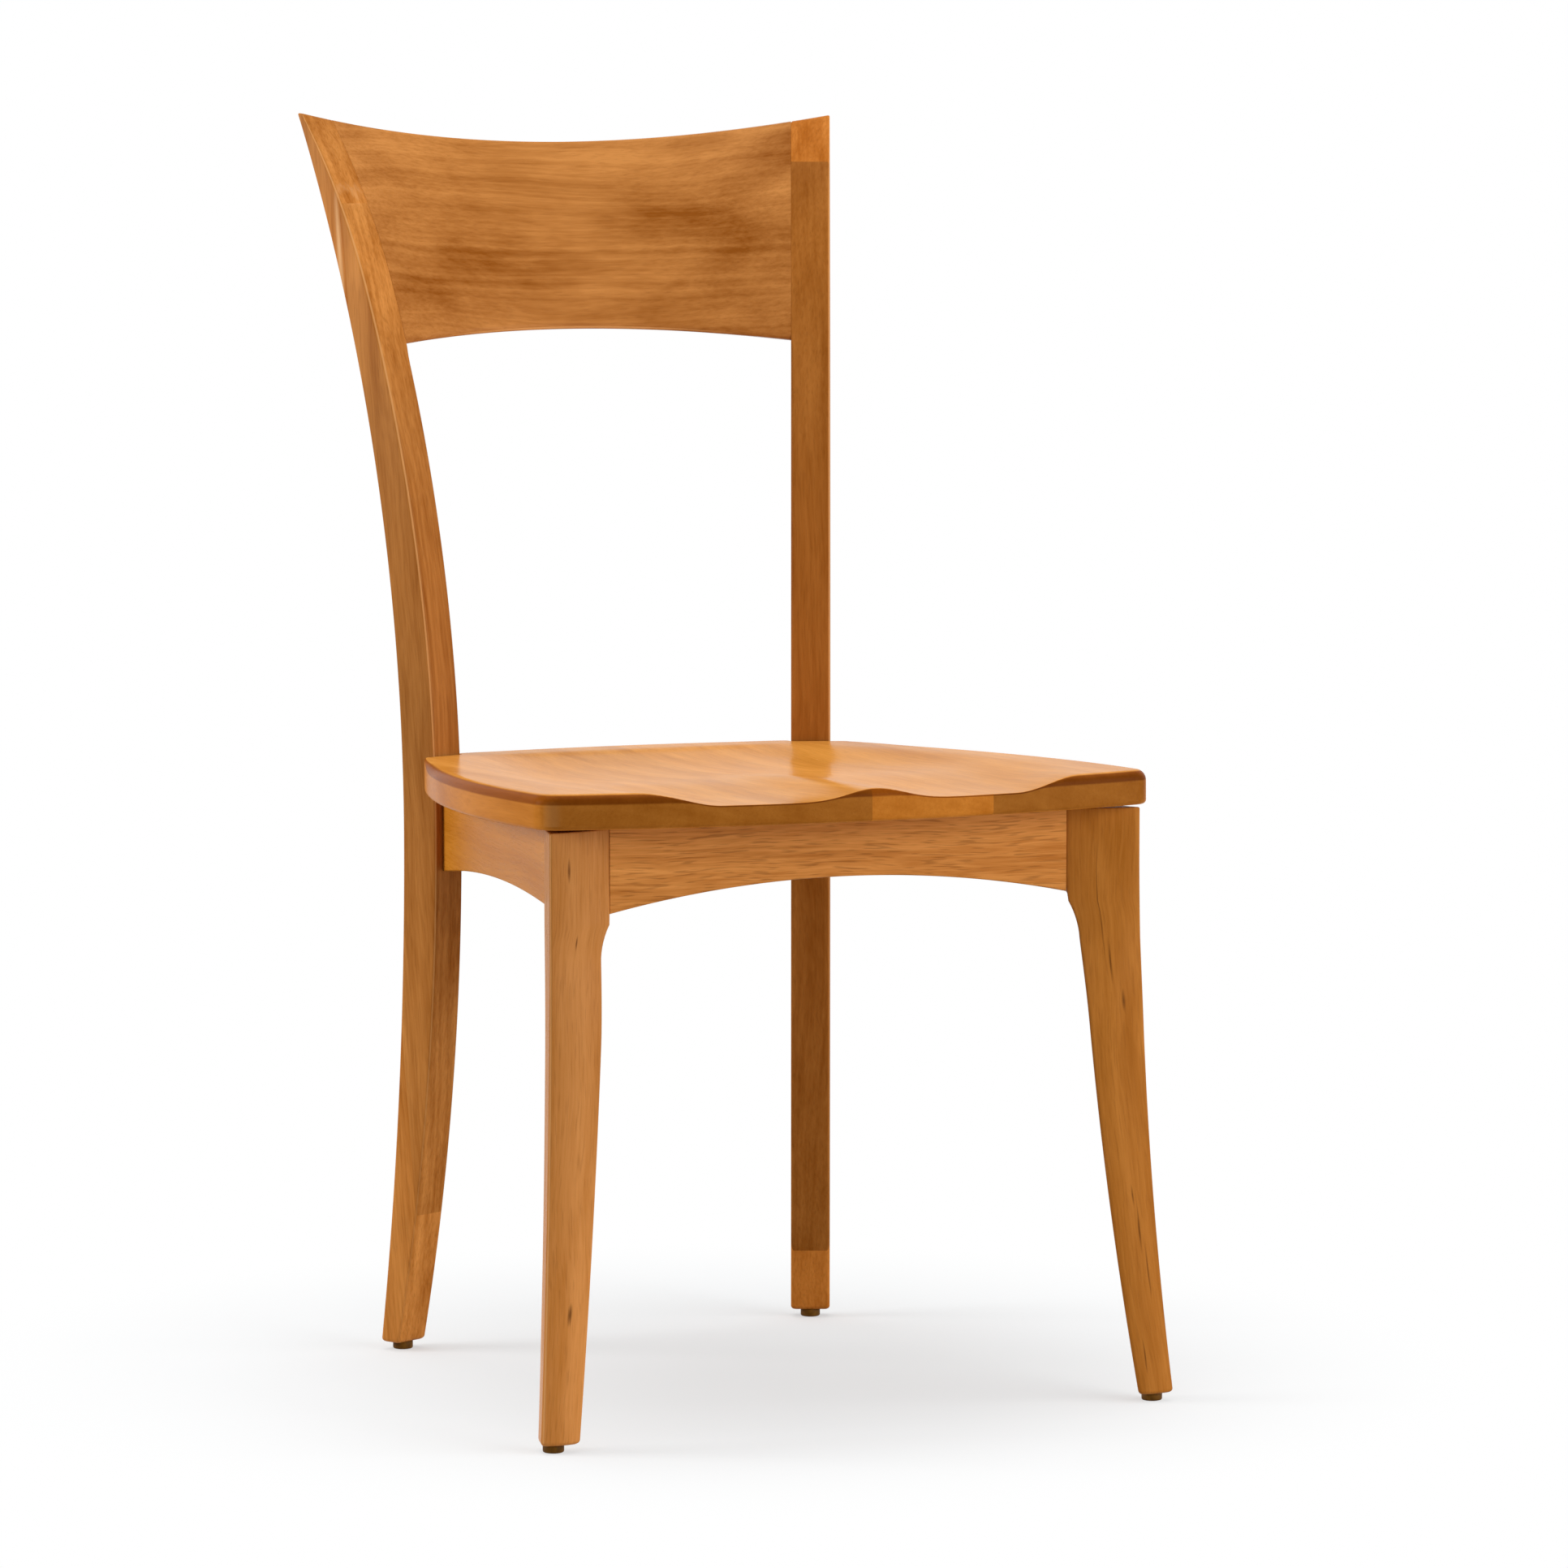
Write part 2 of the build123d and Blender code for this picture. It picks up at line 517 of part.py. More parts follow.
# Crest rail
crest = revolve(back_profile(blank_bottom, blank_top), axis=back_axis, revolution_arc=2 * BACK_SPLAY)
crest = crest - over_crest - under_crest
lower_edges = crest.faces().sort_by(Axis.Z)[0].edges()
crest = fillet(lower_edges.sort_by(Axis.Y)[0], CREST_ROUND)
for hole in dowel_holes:
    crest = crest - hole - mirrored(hole)
parts["crest_rail"] = crest

# Corner blocks with their screws, front pair and rear pair
blocks = {"front": corner_block(front_inner_y, 1), "rear": corner_block(rear_y, -1)}
screws = []
seat_screws = []
apron_holes = []
seat_holes = []
for place, (block, block_screws, seat_screw, holes, seat_hole) in blocks.items():
    parts[f"corner_block_{place}_right"] = block
    parts[f"corner_block_{place}_left"] = mirrored(block)
    screws += block_screws + [mirrored(s) for s in block_screws]
    seat_screws += [seat_screw, mirrored(seat_screw)]
    apron_holes += holes + [mirrored(h) for h in holes]
    seat_holes += [seat_hole, mirrored(seat_hole)]

# Aprons
aprons = {"front_apron": front_apron(), "side_apron_right": side_apron(), "rear_apron": rear_apron()}
aprons["side_apron_left"] = mirrored(aprons["side_apron_right"])
for name, apron in aprons.items():
    for hole in apron_holes:
        apron -= hole
    parts[name] = apron

# Seat, parted at its glue lines into boards
seat = seat_place * (seat_blank() & under_scoop())
notch = post_slab(notch_front, FAR, -GLUE_GAP, FAR)
seat = seat - notch - mirrored(notch)
for hole in seat_holes:
    seat -= hole
edges = (-FAR / 2,) + SEAT_GLUE_LINES + (FAR / 2,)
for number, (left, right) in enumerate(zip(edges, edges[1:]), 1):
    strip = Pos((left + right) / 2, 0, SEAT_HEIGHT) * Box(right - left, FAR, FAR)
    parts[f"seat_board_{number}"] = seat & strip

# Floor glides
for place, centre in {"front": leg_glide_at, "rear": post_glide_at}.items():
    parts[f"floor_glide_{place}_right"] = glide(centre)
    parts[f"floor_glide_{place}_left"] = mirrored(glide(centre))

# Fasteners, each kind a group of separate solids
nails = [nail(leg_glide_at), nail(post_glide_at)]
parts["crest_dowels"] = Compound(dowels + [mirrored(d) for d in dowels])
parts["corner_block_screws"] = Compound(screws)
parts["seat_screws"] = Compound(seat_screws)
parts["glide_nails"] = Compound(nails + [mirrored(n) for n in nails])

# The whole chair is centred in plan, standing on its glides.
box = Compound([shape for part in parts.values() for shape in part.solids()]).bounding_box()
place = Pos(-(box.min.X + box.max.X) / 2, -(box.min.Y + box.max.Y) / 2, -box.min.Z)
os.makedirs("parts", exist_ok=True)
for name, part in parts.items():
    solids = part.solids()
    placed = solids[0] if len(solids) == 1 else Compound(solids)
    export_step(place * placed, f"parts/{name}.step")
    print(name, len(solids), round(sum(s.volume for s in solids) / 1000, 2), "cm3")
print("box", box, "moved", place.position)
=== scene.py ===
import math

import bpy
import numpy as np
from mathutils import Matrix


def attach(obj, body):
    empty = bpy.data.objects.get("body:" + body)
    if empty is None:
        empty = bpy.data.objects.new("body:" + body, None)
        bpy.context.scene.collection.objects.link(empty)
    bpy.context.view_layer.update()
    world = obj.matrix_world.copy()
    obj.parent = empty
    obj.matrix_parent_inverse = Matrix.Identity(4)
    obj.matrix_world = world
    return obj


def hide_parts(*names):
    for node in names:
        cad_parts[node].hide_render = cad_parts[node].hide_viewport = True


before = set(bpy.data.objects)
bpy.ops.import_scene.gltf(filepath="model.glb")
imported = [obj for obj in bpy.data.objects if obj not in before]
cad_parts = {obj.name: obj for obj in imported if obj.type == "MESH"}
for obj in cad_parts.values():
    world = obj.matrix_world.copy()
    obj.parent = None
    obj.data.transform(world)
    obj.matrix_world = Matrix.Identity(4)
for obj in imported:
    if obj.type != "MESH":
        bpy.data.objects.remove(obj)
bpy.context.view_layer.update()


# Back posts
# Two sabre posts of mid-brown hardwood, each sawn in one sweep from a blank of two planks glued face to face.
# The grain runs straight up the blank, so the curved front crosses its glue line once near the foot and once
# near the head.

SEAT_HEIGHT = 453.4  # rim of the seat over the floor; all sizes here are millimetres
PLAN_SHIFT = np.array((0.0, -46.457, 0.0))  # from the seat's drawing to the middle of the chair in plan
MM = 0.001  # a millimetre in metres
SPLAY = math.radians(25.5)  # each post's plane, turned out from the middle plane
BACK_AXIS_Y = -105.2  # both planes meet in this upright line
BACK_RADIUS = 315.0  # from there to the front of a post at its waist
WAIST = SEAT_HEIGHT - 65.4  # where a post's front stands furthest forwards
HEAD = SEAT_HEIGHT + 346.6  # where it starts to turn back faster
FRONT_RADIUS_BELOW = 1839.0
FRONT_RADIUS_ABOVE = 1281.0
FRONT_RADIUS_HEAD = 525.0
REAR_RADIUS_BELOW = 2930.0
REAR_RADIUS_ABOVE = 1460.0
POST_WIDTH = 30.0
POST_DEPTH = 33.4
POST_ARRIS = 2.4  # sanded round of the long edges
POST_FOOT_ROUND = 3.0
POST_HEAD_ROUND = 1.4
POST_RUNS = (5, 7)  # points across its front and along its side
JOINT_ARRIS = 0.5  # round of an edge that butts against another piece
CREST_JOINT = 30.0  # the posts' inner edges turn sharp from this far under the crest
CREST_JOINT_EASE = 14.0
GLUE_LEAN = 0.0935  # how far the blank's glue plane leans back for each unit of height
GLUE_RIGHT = 0.0619  # depth of each blank's glue plane, in metres
GLUE_LEFT = 0.0484
GLIDE_HEIGHT = 6.0
CREST_TOP = SEAT_HEIGHT + 452.6  # middle of the crest's top line
CREST_TOP_RADIUS = 1173.0
CREST_BOTTOM = CREST_TOP - 142.0
ARRIS_STEPS = 7  # points round each arris
END_STEPS = 6  # rows round each end
EDGE_GUARD = 0.4  # a row this far past a round keeps the flat beside it flat
SETTLE_STEPS = 6  # rounds of stepping between a height and the curve that it ends on
MIRROR = np.array((-1.0, 1.0, 1.0))


def arc_offset(radius, rise):
    """Sideways travel of an arc that starts straight, after the given rise: r - sqrt(r2 - rise2)."""
    return radius - np.sqrt(radius**2 - np.square(rise))


def eased(value):
    """Step from 0 to 1 with level ends: 3t2 - 2t3."""
    t = np.clip(value, 0.0, 1.0)
    return t * t * (3 - 2 * t)


def stacked(*parts):
    """Arrays of one shape laid side by side along a new last axis."""
    return np.stack(parts, axis=-1)


def post_front(z):
    """How far the post's front lies behind its waist: one arc below the waist, one above, and a tighter one
    at the head that goes on from the slope reached there."""
    lean = (HEAD - WAIST) / FRONT_RADIUS_ABOVE
    swing = lean + np.maximum(z - HEAD, 0) / FRONT_RADIUS_HEAD
    turn = FRONT_RADIUS_HEAD * (np.sqrt(1 - lean**2) - np.sqrt(1 - swing**2))
    below = arc_offset(FRONT_RADIUS_BELOW, np.minimum(z - WAIST, 0))
    above = arc_offset(FRONT_RADIUS_ABOVE, np.clip(z - WAIST, 0, HEAD - WAIST))
    return below + above + turn


def post_rear(z):
    """How far the post's rear lies behind the front of its waist: its depth plus one arc down and one up."""
    below = arc_offset(REAR_RADIUS_BELOW, np.minimum(z - WAIST, 0))
    return POST_DEPTH + below + arc_offset(REAR_RADIUS_ABOVE, np.maximum(z - WAIST, 0))


def on_post(back, out):
    """Plan point of the right post: so far back along its own plane, then so far out, square to it."""
    x = math.sin(SPLAY) * (BACK_RADIUS + back) + math.cos(SPLAY) * out
    y = BACK_AXIS_Y + math.cos(SPLAY) * (BACK_RADIUS + back) - math.sin(SPLAY) * out
    return x, y


def crest_top(x):
    """Height of the crest's top line over X: a shallow hollow arc that rises to both posts."""
    return CREST_TOP + arc_offset(CREST_TOP_RADIUS, x)


def arris_loop(radii, run_steps):
    """Walk once round a four-sided section: a quarter round at each corner, then a straight run to the next.
    Gives each point's corner share (0 or 1 on either axis, between on a run) and its offset from there."""
    corners = np.array([(0, 0), (1, 0), (1, 1), (0, 1)], float)
    ways = np.array([(1, 0), (0, 1), (-1, 0), (0, -1)], float)
    turn = np.linspace(0, math.pi / 2, ARRIS_STEPS)[:, None]
    shares, offsets = [], []
    for c in range(4):
        after = (c + 1) % 4
        bend = radii[c] * (ways[c - 1] * (np.sin(turn) - 1) + ways[c] * (1 - np.cos(turn)))
        start = ways[c] * (radii[c] + EDGE_GUARD)
        end = -ways[c] * (radii[after] + EDGE_GUARD)
        run = np.linspace(0, 1, run_steps[c % 2])[:, None]
        shares.append(corners[[c]].repeat(ARRIS_STEPS, axis=0))
        shares.append(corners[c] + (corners[after] - corners[c]) * run)
        offsets.append(bend)
        offsets.append(start + (end - start) * run)
    return np.concatenate(shares), np.concatenate(offsets)


def section_shares(loop, wide, deep, inset):
    """Shares (0 to 1) of a section's width and depth for each row, drawn in on all sides by its inset."""
    shares, offsets = loop
    drawn = offsets + inset[:, None, None] * (1 - 2 * shares)
    return shares[:, 0] + drawn[..., 0] / wide, shares[:, 1] + drawn[..., 1] / deep


def eased_rows(length, start_round, end_round, steps):
    """Rows along a piece: travel from its start, and the inset that rounds both ends as quarter circles."""
    turn = np.linspace(0, math.pi / 2, END_STEPS)

    def end(radius):
        travel = np.concatenate([[0.0], radius * (1 - np.cos(turn)), [radius + EDGE_GUARD]])
        return travel, np.concatenate([[radius + EDGE_GUARD], radius * (1 - np.sin(turn)), [0.0]])

    first, first_inset = end(start_round)
    last, last_inset = end(end_round)
    middle = np.linspace(first[-1], length - last[-1], steps)[1:-1]
    travel = np.concatenate([first, middle, (length - last)[::-1]])
    return travel, np.concatenate([first_inset, np.zeros(len(middle)), last_inset[::-1]])


def add_object(name, data):
    """Object at the origin with the given mesh, light or camera."""
    thing = bpy.data.objects.new(name, data)
    bpy.context.scene.collection.objects.link(thing)
    return thing


def add_piece(name, points, face_sets, material, replaced, grain=None):
    """Piece on the chair's one body from points and the faces that close it. They are turned outwards by the
    sign of the volume inside: the sum of a . (b x c) over triangles. Grain coordinates, where given, go with
    the vertices in metres."""
    places = (points + PLAN_SHIFT) * MM
    triangles = [faces[:, [0, i - 1, i]] for faces in face_sets for i in range(2, faces.shape[1])]
    corner = places[np.concatenate(triangles)]
    volume = np.einsum("ij,ij->i", corner[:, 0], np.cross(corner[:, 1], corner[:, 2])).sum()
    order = 1 if volume > 0 else -1
    mesh = bpy.data.meshes.new(name)
    outward = [face for faces in face_sets for face in faces[:, ::order].tolist()]
    mesh.from_pydata(places.tolist(), [], outward)
    mesh.shade_smooth()
    if grain is not None:
        attribute = mesh.attributes.new("grain", "FLOAT_VECTOR", "POINT")
        attribute.data.foreach_set("vector", (grain * MM).astype(np.float32).ravel())
    mesh.materials.append(material)
    piece = add_object(name, mesh)
    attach(piece, "root")
    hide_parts(*replaced)


def skin(name, points, grain, material, replaced, slot_name="frame_wood"):
    """Piece from rows of closed loops, each end shut by a fan about its middle."""
    rows, around = points.shape[:2]
    count = rows * around
    index = np.arange(count).reshape(rows, around)
    beside = np.roll(index, -1, axis=1)
    quads = stacked(index[:-1], beside[:-1], beside[1:], index[1:]).reshape(-1, 4)
    first_fan = stacked(beside[0], index[0], np.full(around, count))
    last_fan = stacked(index[-1], beside[-1], np.full(around, count + 1))
    closed_points = np.concatenate([points.reshape(-1, 3), points[[0, -1]].mean(axis=1)])
    closed_grain = np.concatenate([grain.reshape(-1, 3), grain[[0, -1]].mean(axis=1)])
    add_piece(name, closed_points, [quads, first_fan, last_fan], material, replaced, closed_grain)


def tone(red, green, blue):
    """Colour seen as three 0-255 display values, turned into the linear light that shaders take."""
    seen = np.array((red, green, blue)) / 255
    light = np.where(seen <= 0.04045, seen / 12.92, ((seen + 0.055) / 1.055) ** 2.4)
    return (*light.tolist(), 1.0)


def grey(value):
    """Colour with all three channels at one value."""
    return (value, value, value, 1.0)


def new_material(name):
    """Node material, its tree and its shader."""
    material = bpy.data.materials.new(name)
    material.use_nodes = True
    return material, material.node_tree, material.node_tree.nodes["Principled BSDF"]


def fill(tree, node, inputs):
    """Set or link a node's inputs, by name or number."""
    for key, value in inputs.items():
        if isinstance(value, bpy.types.NodeSocket):
            tree.links.new(value, node.inputs[key])
        else:
            node.inputs[key].default_value = value


def add_node(tree, kind, inputs, **options):
    """One shader node with its options set and its inputs filled."""
    node = tree.nodes.new("ShaderNode" + kind)
    for key, value in options.items():
        setattr(node, key, value)
    fill(tree, node, inputs)
    return node


def add_math(tree, operation, *values):
    """Result of one sum on numbers."""
    return add_node(tree, "Math", dict(enumerate(values)), operation=operation).outputs[0]


def add_vector(tree, operation, *values):
    """Result of one sum on vectors: a number for a length or a dot product, else a vector."""
    outputs = add_node(tree, "VectorMath", dict(enumerate(values)), operation=operation).outputs
    return outputs["Value" if operation in ("LENGTH", "DOT_PRODUCT") else "Vector"]


def add_ramp(tree, value, stops, steps="LINEAR"):
    """Colour ramp over a value, from (place, colour) stops."""
    node = add_node(tree, "ValToRGB", {"Fac": value})
    node.color_ramp.interpolation = steps
    while len(node.color_ramp.elements) < len(stops):
        node.color_ramp.elements.new(1.0)
    for element, (place, colour) in zip(node.color_ramp.elements, stops):
        element.position = place
        element.color = colour
    return node.outputs["Color"]


def add_mix(tree, share, first, second, blend="MIX"):
    """Two colours mixed by a share, or the first multiplied by the second."""
    node = add_node(tree, "Mix", {0: share, 6: first, 7: second}, data_type="RGBA", blend_type=blend)
    return node.outputs[2]


# Figure of the wood. Each noise: cells a metre along the grain and across it, and its detail
BAND_NOISE = (3.0, 46.0, 4.0)
FIBRE_NOISE = (26.0, 520.0, 2.0)
CLOUD_NOISE = (8.0, 20.0, 4.0)
FLECK_NOISE = (60.0, 950.0, 0.0)
WANDER_NOISE = (3.0, 12.0, 1.0)
SEED_STEP = (0.37, 0.053, 0.071)  # metres in the figure from one seed to the next
STAVE_STEP = (0.83, 0.031, 0.047)  # and from one stave to the next
BEND_RATE = (4.0, 11.0, 11.0)  # cells a metre of the noise that bends the figure's lines
BEND_REACH = (0.05, 0.022, 0.022)  # and how far it moves them
PITH_ACROSS = 0.021
PITH_DEPTH = 0.034
RING_FLATNESS = 0.55
RING_WANDER = 0.016
RING_RATE = 210.0  # cells a metre across the rings
RING_SHARE = 0.16
FLECK_TONE = tone(104, 56, 12)
MARK_SWAY = 0.012
MARK_FRAY = 0.9
# Painted highlight: the paler tone laid on an arris that faces a light
PAINTED_HIGHLIGHT_TONE = tone(240, 176, 112)
# Painted shade: the seat's sides and underside darker than its top, its rounded edge darker still
PAINTED_SIDE_SHADE = (0.80, 0.68, 0.50, 1.0)
PAINTED_ROUND_SHADE = (0.40, 0.25, 0.10, 1.0)
PAINTED_SHADE_STOPS = [(0.0, PAINTED_SIDE_SHADE), (0.05, PAINTED_SIDE_SHADE), (0.17, PAINTED_ROUND_SHADE), (0.84, PAINTED_ROUND_SHADE),
               (0.955, grey(1))]
ROUGH_SPREAD = 0.12


def stretched_noise(tree, place, along, across, detail):
    """Noise drawn out along the grain: so many cells a metre along it and across it."""
    stretched = add_vector(tree, "MULTIPLY", place, (along, across, across))
    inputs = {"Vector": stretched, "Scale": 1.0, "Detail": detail, "Roughness": 0.55}
    return add_node(tree, "TexNoise", inputs).outputs["Fac"]


def growth_rings(tree, place):
    """Noise over the distance from a far pith, flattened across the face, that wanders along the grain."""
    axes = add_node(tree, "SeparateXYZ", {0: place}).outputs
    flat = add_math(tree, "MULTIPLY", add_math(tree, "ADD", axes[1], PITH_ACROSS), RING_FLATNESS)
    deep = add_math(tree, "ADD", axes[2], PITH_DEPTH)
    squares = add_math(tree, "ADD", add_math(tree, "POWER", flat, 2.0), add_math(tree, "POWER", deep, 2.0))
    wander = stretched_noise(tree, place, *WANDER_NOISE)
    ring_at = add_math(tree, "MULTIPLY_ADD", wander, RING_WANDER, add_math(tree, "SQRT", squares))
    cells = add_math(tree, "MULTIPLY", ring_at, RING_RATE)
    inputs = {"W": cells, "Scale": 1.0, "Detail": 2.0, "Roughness": 0.5}
    return add_node(tree, "TexNoise", inputs, noise_dimensions="1D").outputs["Fac"]


def by_stave(tree, stave, colours):
    """One colour for each stave, with the steps half way between their numbers."""
    count = len(colours)
    stops = [(max(i - 0.5, 0.0) / count, colour) for i, colour in enumerate(colours)]
    return add_ramp(tree, add_math(tree, "DIVIDE", stave, float(count)), stops, "CONSTANT")


def lacquered_wood(name, dark, light, seed, glue_lines=(), shades=(), end_shades=(), marks=(), cloud=0.2,
                   flecks=0.15, fibre=0.18, painted_light=(), edge=None, roughness=0.28, gloss=0.03, source="grain"):
    """Hardwood under satin lacquer in the piece's own grain coordinates, X along the grain. Its colour runs
    between two tones by long bands, growth rings, fine fibres and soft clouds; then come short flecks and
    marks, each (along, across, half length, half width, colour). Past each glue line, set across the grain,
    the next stave has a figure and shade of its own. Painted light and shade, as (height, shade) pairs, make
    it lighter or darker along the grain. The arris that faces the edge direction gets a painted highlight.
    End shades, one a stave, darken the end grain; with them the sides and rounded edge get painted shade."""
    material, tree, shader = new_material(name)
    if source == "grain":
        place = add_node(tree, "Attribute", {}, attribute_name="grain").outputs["Vector"]
    else:
        place = add_node(tree, "TexCoord", {}).outputs["Object"]
    axes = add_node(tree, "SeparateXYZ", {0: place}).outputs
    figure_place = add_vector(tree, "ADD", place, tuple(seed * step for step in SEED_STEP))
    if glue_lines:
        stave = add_math(tree, "GREATER_THAN", axes[1], glue_lines[0])
        for line in glue_lines[1:]:
            stave = add_math(tree, "ADD", stave, add_math(tree, "GREATER_THAN", axes[1], line))
        step = add_node(tree, "CombineXYZ", {0: stave, 1: stave, 2: stave}).outputs[0]
        figure_place = add_vector(tree, "MULTIPLY_ADD", step, STAVE_STEP, figure_place)
    bend_place = add_vector(tree, "MULTIPLY", figure_place, BEND_RATE)
    bend = add_node(tree, "TexNoise", {"Vector": bend_place, "Scale": 1.0, "Detail": 2.0}).outputs["Color"]
    figure_place = add_vector(tree, "MULTIPLY_ADD", bend, BEND_REACH, figure_place)

    bands = stretched_noise(tree, figure_place, *BAND_NOISE)
    fibres = stretched_noise(tree, figure_place, *FIBRE_NOISE)
    clouds = stretched_noise(tree, figure_place, *CLOUD_NOISE)
    figure = add_math(tree, "MULTIPLY", bands, 1 - RING_SHARE - cloud - fibre)
    figure = add_math(tree, "MULTIPLY_ADD", growth_rings(tree, figure_place), RING_SHARE, figure)
    figure = add_math(tree, "MULTIPLY_ADD", fibres, fibre, figure)
    figure = add_math(tree, "MULTIPLY_ADD", clouds, cloud, figure)
    colour = add_ramp(tree, figure, [(0.37, dark), (0.63, light)])
    if glue_lines:
        stave_shade = by_stave(tree, stave, [grey(shade) for shade in shades])
        colour = add_mix(tree, 1.0, colour, stave_shade, "MULTIPLY")
    # Painted light and shade: lighter or darker at given heights along the grain
    if painted_light:
        stops = [(along, grey(shade)) for along, shade in painted_light]
        colour = add_mix(tree, 1.0, colour, add_ramp(tree, axes[0], stops), "MULTIPLY")

    # Flecks and marks lie along the grain, and the marks sway with the bands
    fleck_noise = stretched_noise(tree, figure_place, *FLECK_NOISE)
    fleck = add_ramp(tree, fleck_noise, [(0.58, grey(0)), (0.74, grey(1))])
    colour = add_mix(tree, add_math(tree, "MULTIPLY", fleck, flecks), colour, FLECK_TONE)
    sway = add_node(tree, "CombineXYZ", {1: add_math(tree, "MULTIPLY_ADD", bands, MARK_SWAY, -MARK_SWAY / 2)})
    swayed = add_vector(tree, "ADD", place, sway.outputs[0])
    for along, across, half_length, half_width, stain in marks:
        off = add_vector(tree, "SUBTRACT", swayed, (along, across, 0.0))
        off = add_vector(tree, "MULTIPLY", off, (1 / half_length, 1 / half_width, 0.0))
        reach = add_math(tree, "SUBTRACT", add_vector(tree, "LENGTH", off), MARK_FRAY / 2)
        reach = add_math(tree, "MULTIPLY_ADD", fibres, MARK_FRAY, reach)
        mark = add_ramp(tree, reach, [(0.2, grey(0.75)), (1.0, grey(0))])
        colour = add_mix(tree, mark, colour, stain)

    # Painted highlight on the arris, darker end grain, and painted shade on the sides and rounded edge
    normal = add_node(tree, "NewGeometry", {}).outputs["Normal"]
    if edge:
        toward = add_vector(tree, "DOT_PRODUCT", normal, edge)
        # Painted highlight: a paler tone where the surface faces the edge direction
        painted_highlight = add_ramp(tree, toward, [(0.925, grey(0)), (0.985, grey(0.6))])
        colour = add_mix(tree, painted_highlight, colour, PAINTED_HIGHLIGHT_TONE)
    if end_shades:
        facing = add_node(tree, "SeparateXYZ", {0: normal}).outputs
        ends = by_stave(tree, stave, [(shade, 0.96 * shade, 0.9 * shade, 1.0) for shade in end_shades])
        endwise = add_math(tree, "ABSOLUTE", facing[1])
        end_share = add_ramp(tree, endwise, [(0.40, grey(0)), (0.80, grey(1))])
        colour = add_mix(tree, end_share, colour, add_mix(tree, 1.0, colour, ends, "MULTIPLY"))
        # Painted shade: sides, underside and rounded edge darker than the top
        colour = add_mix(tree, 1.0, colour, add_ramp(tree, facing[2], PAINTED_SHADE_STOPS), "MULTIPLY")

    rough = add_math(tree, "MULTIPLY_ADD", fibres, ROUGH_SPREAD, roughness - ROUGH_SPREAD / 2)
    height = add_math(tree, "MULTIPLY_ADD", fleck, -0.5, fibres)
    bump = add_node(tree, "Bump", {"Strength": 0.12, "Distance": 0.0004, "Height": height})
    fill(tree, shader, {"Base Color": colour, "Roughness": rough, "Normal": bump.outputs[0],
                        "Specular IOR Level": gloss})
    return material


def post_skin():
    """Rounded-square section carried up the sabre curve. Each column ends on the crest's top line, found by
    stepping between its height and its X. Beside the crest the inner arrises are sharp. Across the grain
    goes the depth in the blank: the way back less the lean of its glue plane."""
    height = crest_top(0.0) - GLIDE_HEIGHT
    travel, inset = eased_rows(height, POST_FOOT_ROUND, POST_HEAD_ROUND, steps=130)
    level = GLIDE_HEIGHT + travel[:, None]
    deep = post_rear(level) - post_front(level)
    joint = eased((level - CREST_BOTTOM + CREST_JOINT) / CREST_JOINT_EASE)
    shares, rounded = arris_loop((POST_ARRIS,) * 4, POST_RUNS)
    tight = arris_loop((JOINT_ARRIS, POST_ARRIS, POST_ARRIS, JOINT_ARRIS), POST_RUNS)[1]
    offsets = rounded + (tight - rounded) * joint[..., None]
    a, b = section_shares((shares, offsets), POST_WIDTH, deep, inset)
    z = level + 0 * a
    for _ in range(SETTLE_STEPS):
        back = post_front(z) + (post_rear(z) - post_front(z)) * b
        x, y = on_post(back, POST_WIDTH * a)
        z = GLIDE_HEIGHT + (crest_top(x) - GLIDE_HEIGHT) * (travel / height)[:, None]
    plank = back - GLUE_LEAN * (z - WAIST)
    return stacked(x, y, z), stacked(z, plank, POST_WIDTH * a)


post_points, post_grain = post_skin()
# Painted light and shade by height along each post; the left post is darkest near the seat
right_painted_light = ((0.70, 1.0), (0.82, 1.12), (0.89, 1.04))
left_painted_light = ((0.14, 1.07), (0.30, 1.0), (0.48, 0.78), (0.58, 0.92), (0.70, 0.93), (0.82, 1.2), (0.90, 0.92))
sap_streak = (0.828, 0.053, 0.05, 0.0035, tone(244, 190, 132))
# Each post's edge direction lays a painted highlight along its outer front arris
post_wood_right = lacquered_wood("post_wood_right", tone(142, 78, 18), tone(180, 113, 48), 3.0,
                                 glue_lines=(GLUE_RIGHT,), shades=(0.9, 1.5), painted_light=right_painted_light,
                                 edge=(0.32, -0.92, 0.22))
post_wood_left = lacquered_wood("post_wood_left", tone(146, 81, 18), tone(203, 135, 67), 8.0,
                                glue_lines=(GLUE_LEFT,), shades=(1.0, 1.17), marks=[sap_streak],
                                painted_light=left_painted_light, edge=(-0.32, -0.92, 0.22))
skin("back_post_right", post_points, post_grain, post_wood_right,
     ["back_post_right_main", "back_post_right_foot", "back_post_right_head"])
skin("back_post_left", post_points * MIRROR, post_grain, post_wood_left,
     ["back_post_left_main", "back_post_left_foot", "back_post_left_head"])


# Crest rail
# One board sawn to the curve of the back, with a hollow top line and an arched lower edge, rounded in front.
# It butts against the posts' inner faces and is held there by two dowels at each end, out of sight.

CREST_BOTTOM_RADIUS = 1404.0
CREST_LOWER_ROUND = 4.5
CREST_ARRIS = 1.8
CREST_RUNS = (5, 26)  # points through its thickness and up its face
BUTT_ROUND = 0.3  # round of an end that butts against its neighbour


def crest_bottom(x):
    """Height of the crest's lower edge over X: a shallow arch that falls to both posts."""
    return CREST_BOTTOM - arc_offset(CREST_BOTTOM_RADIUS, x)


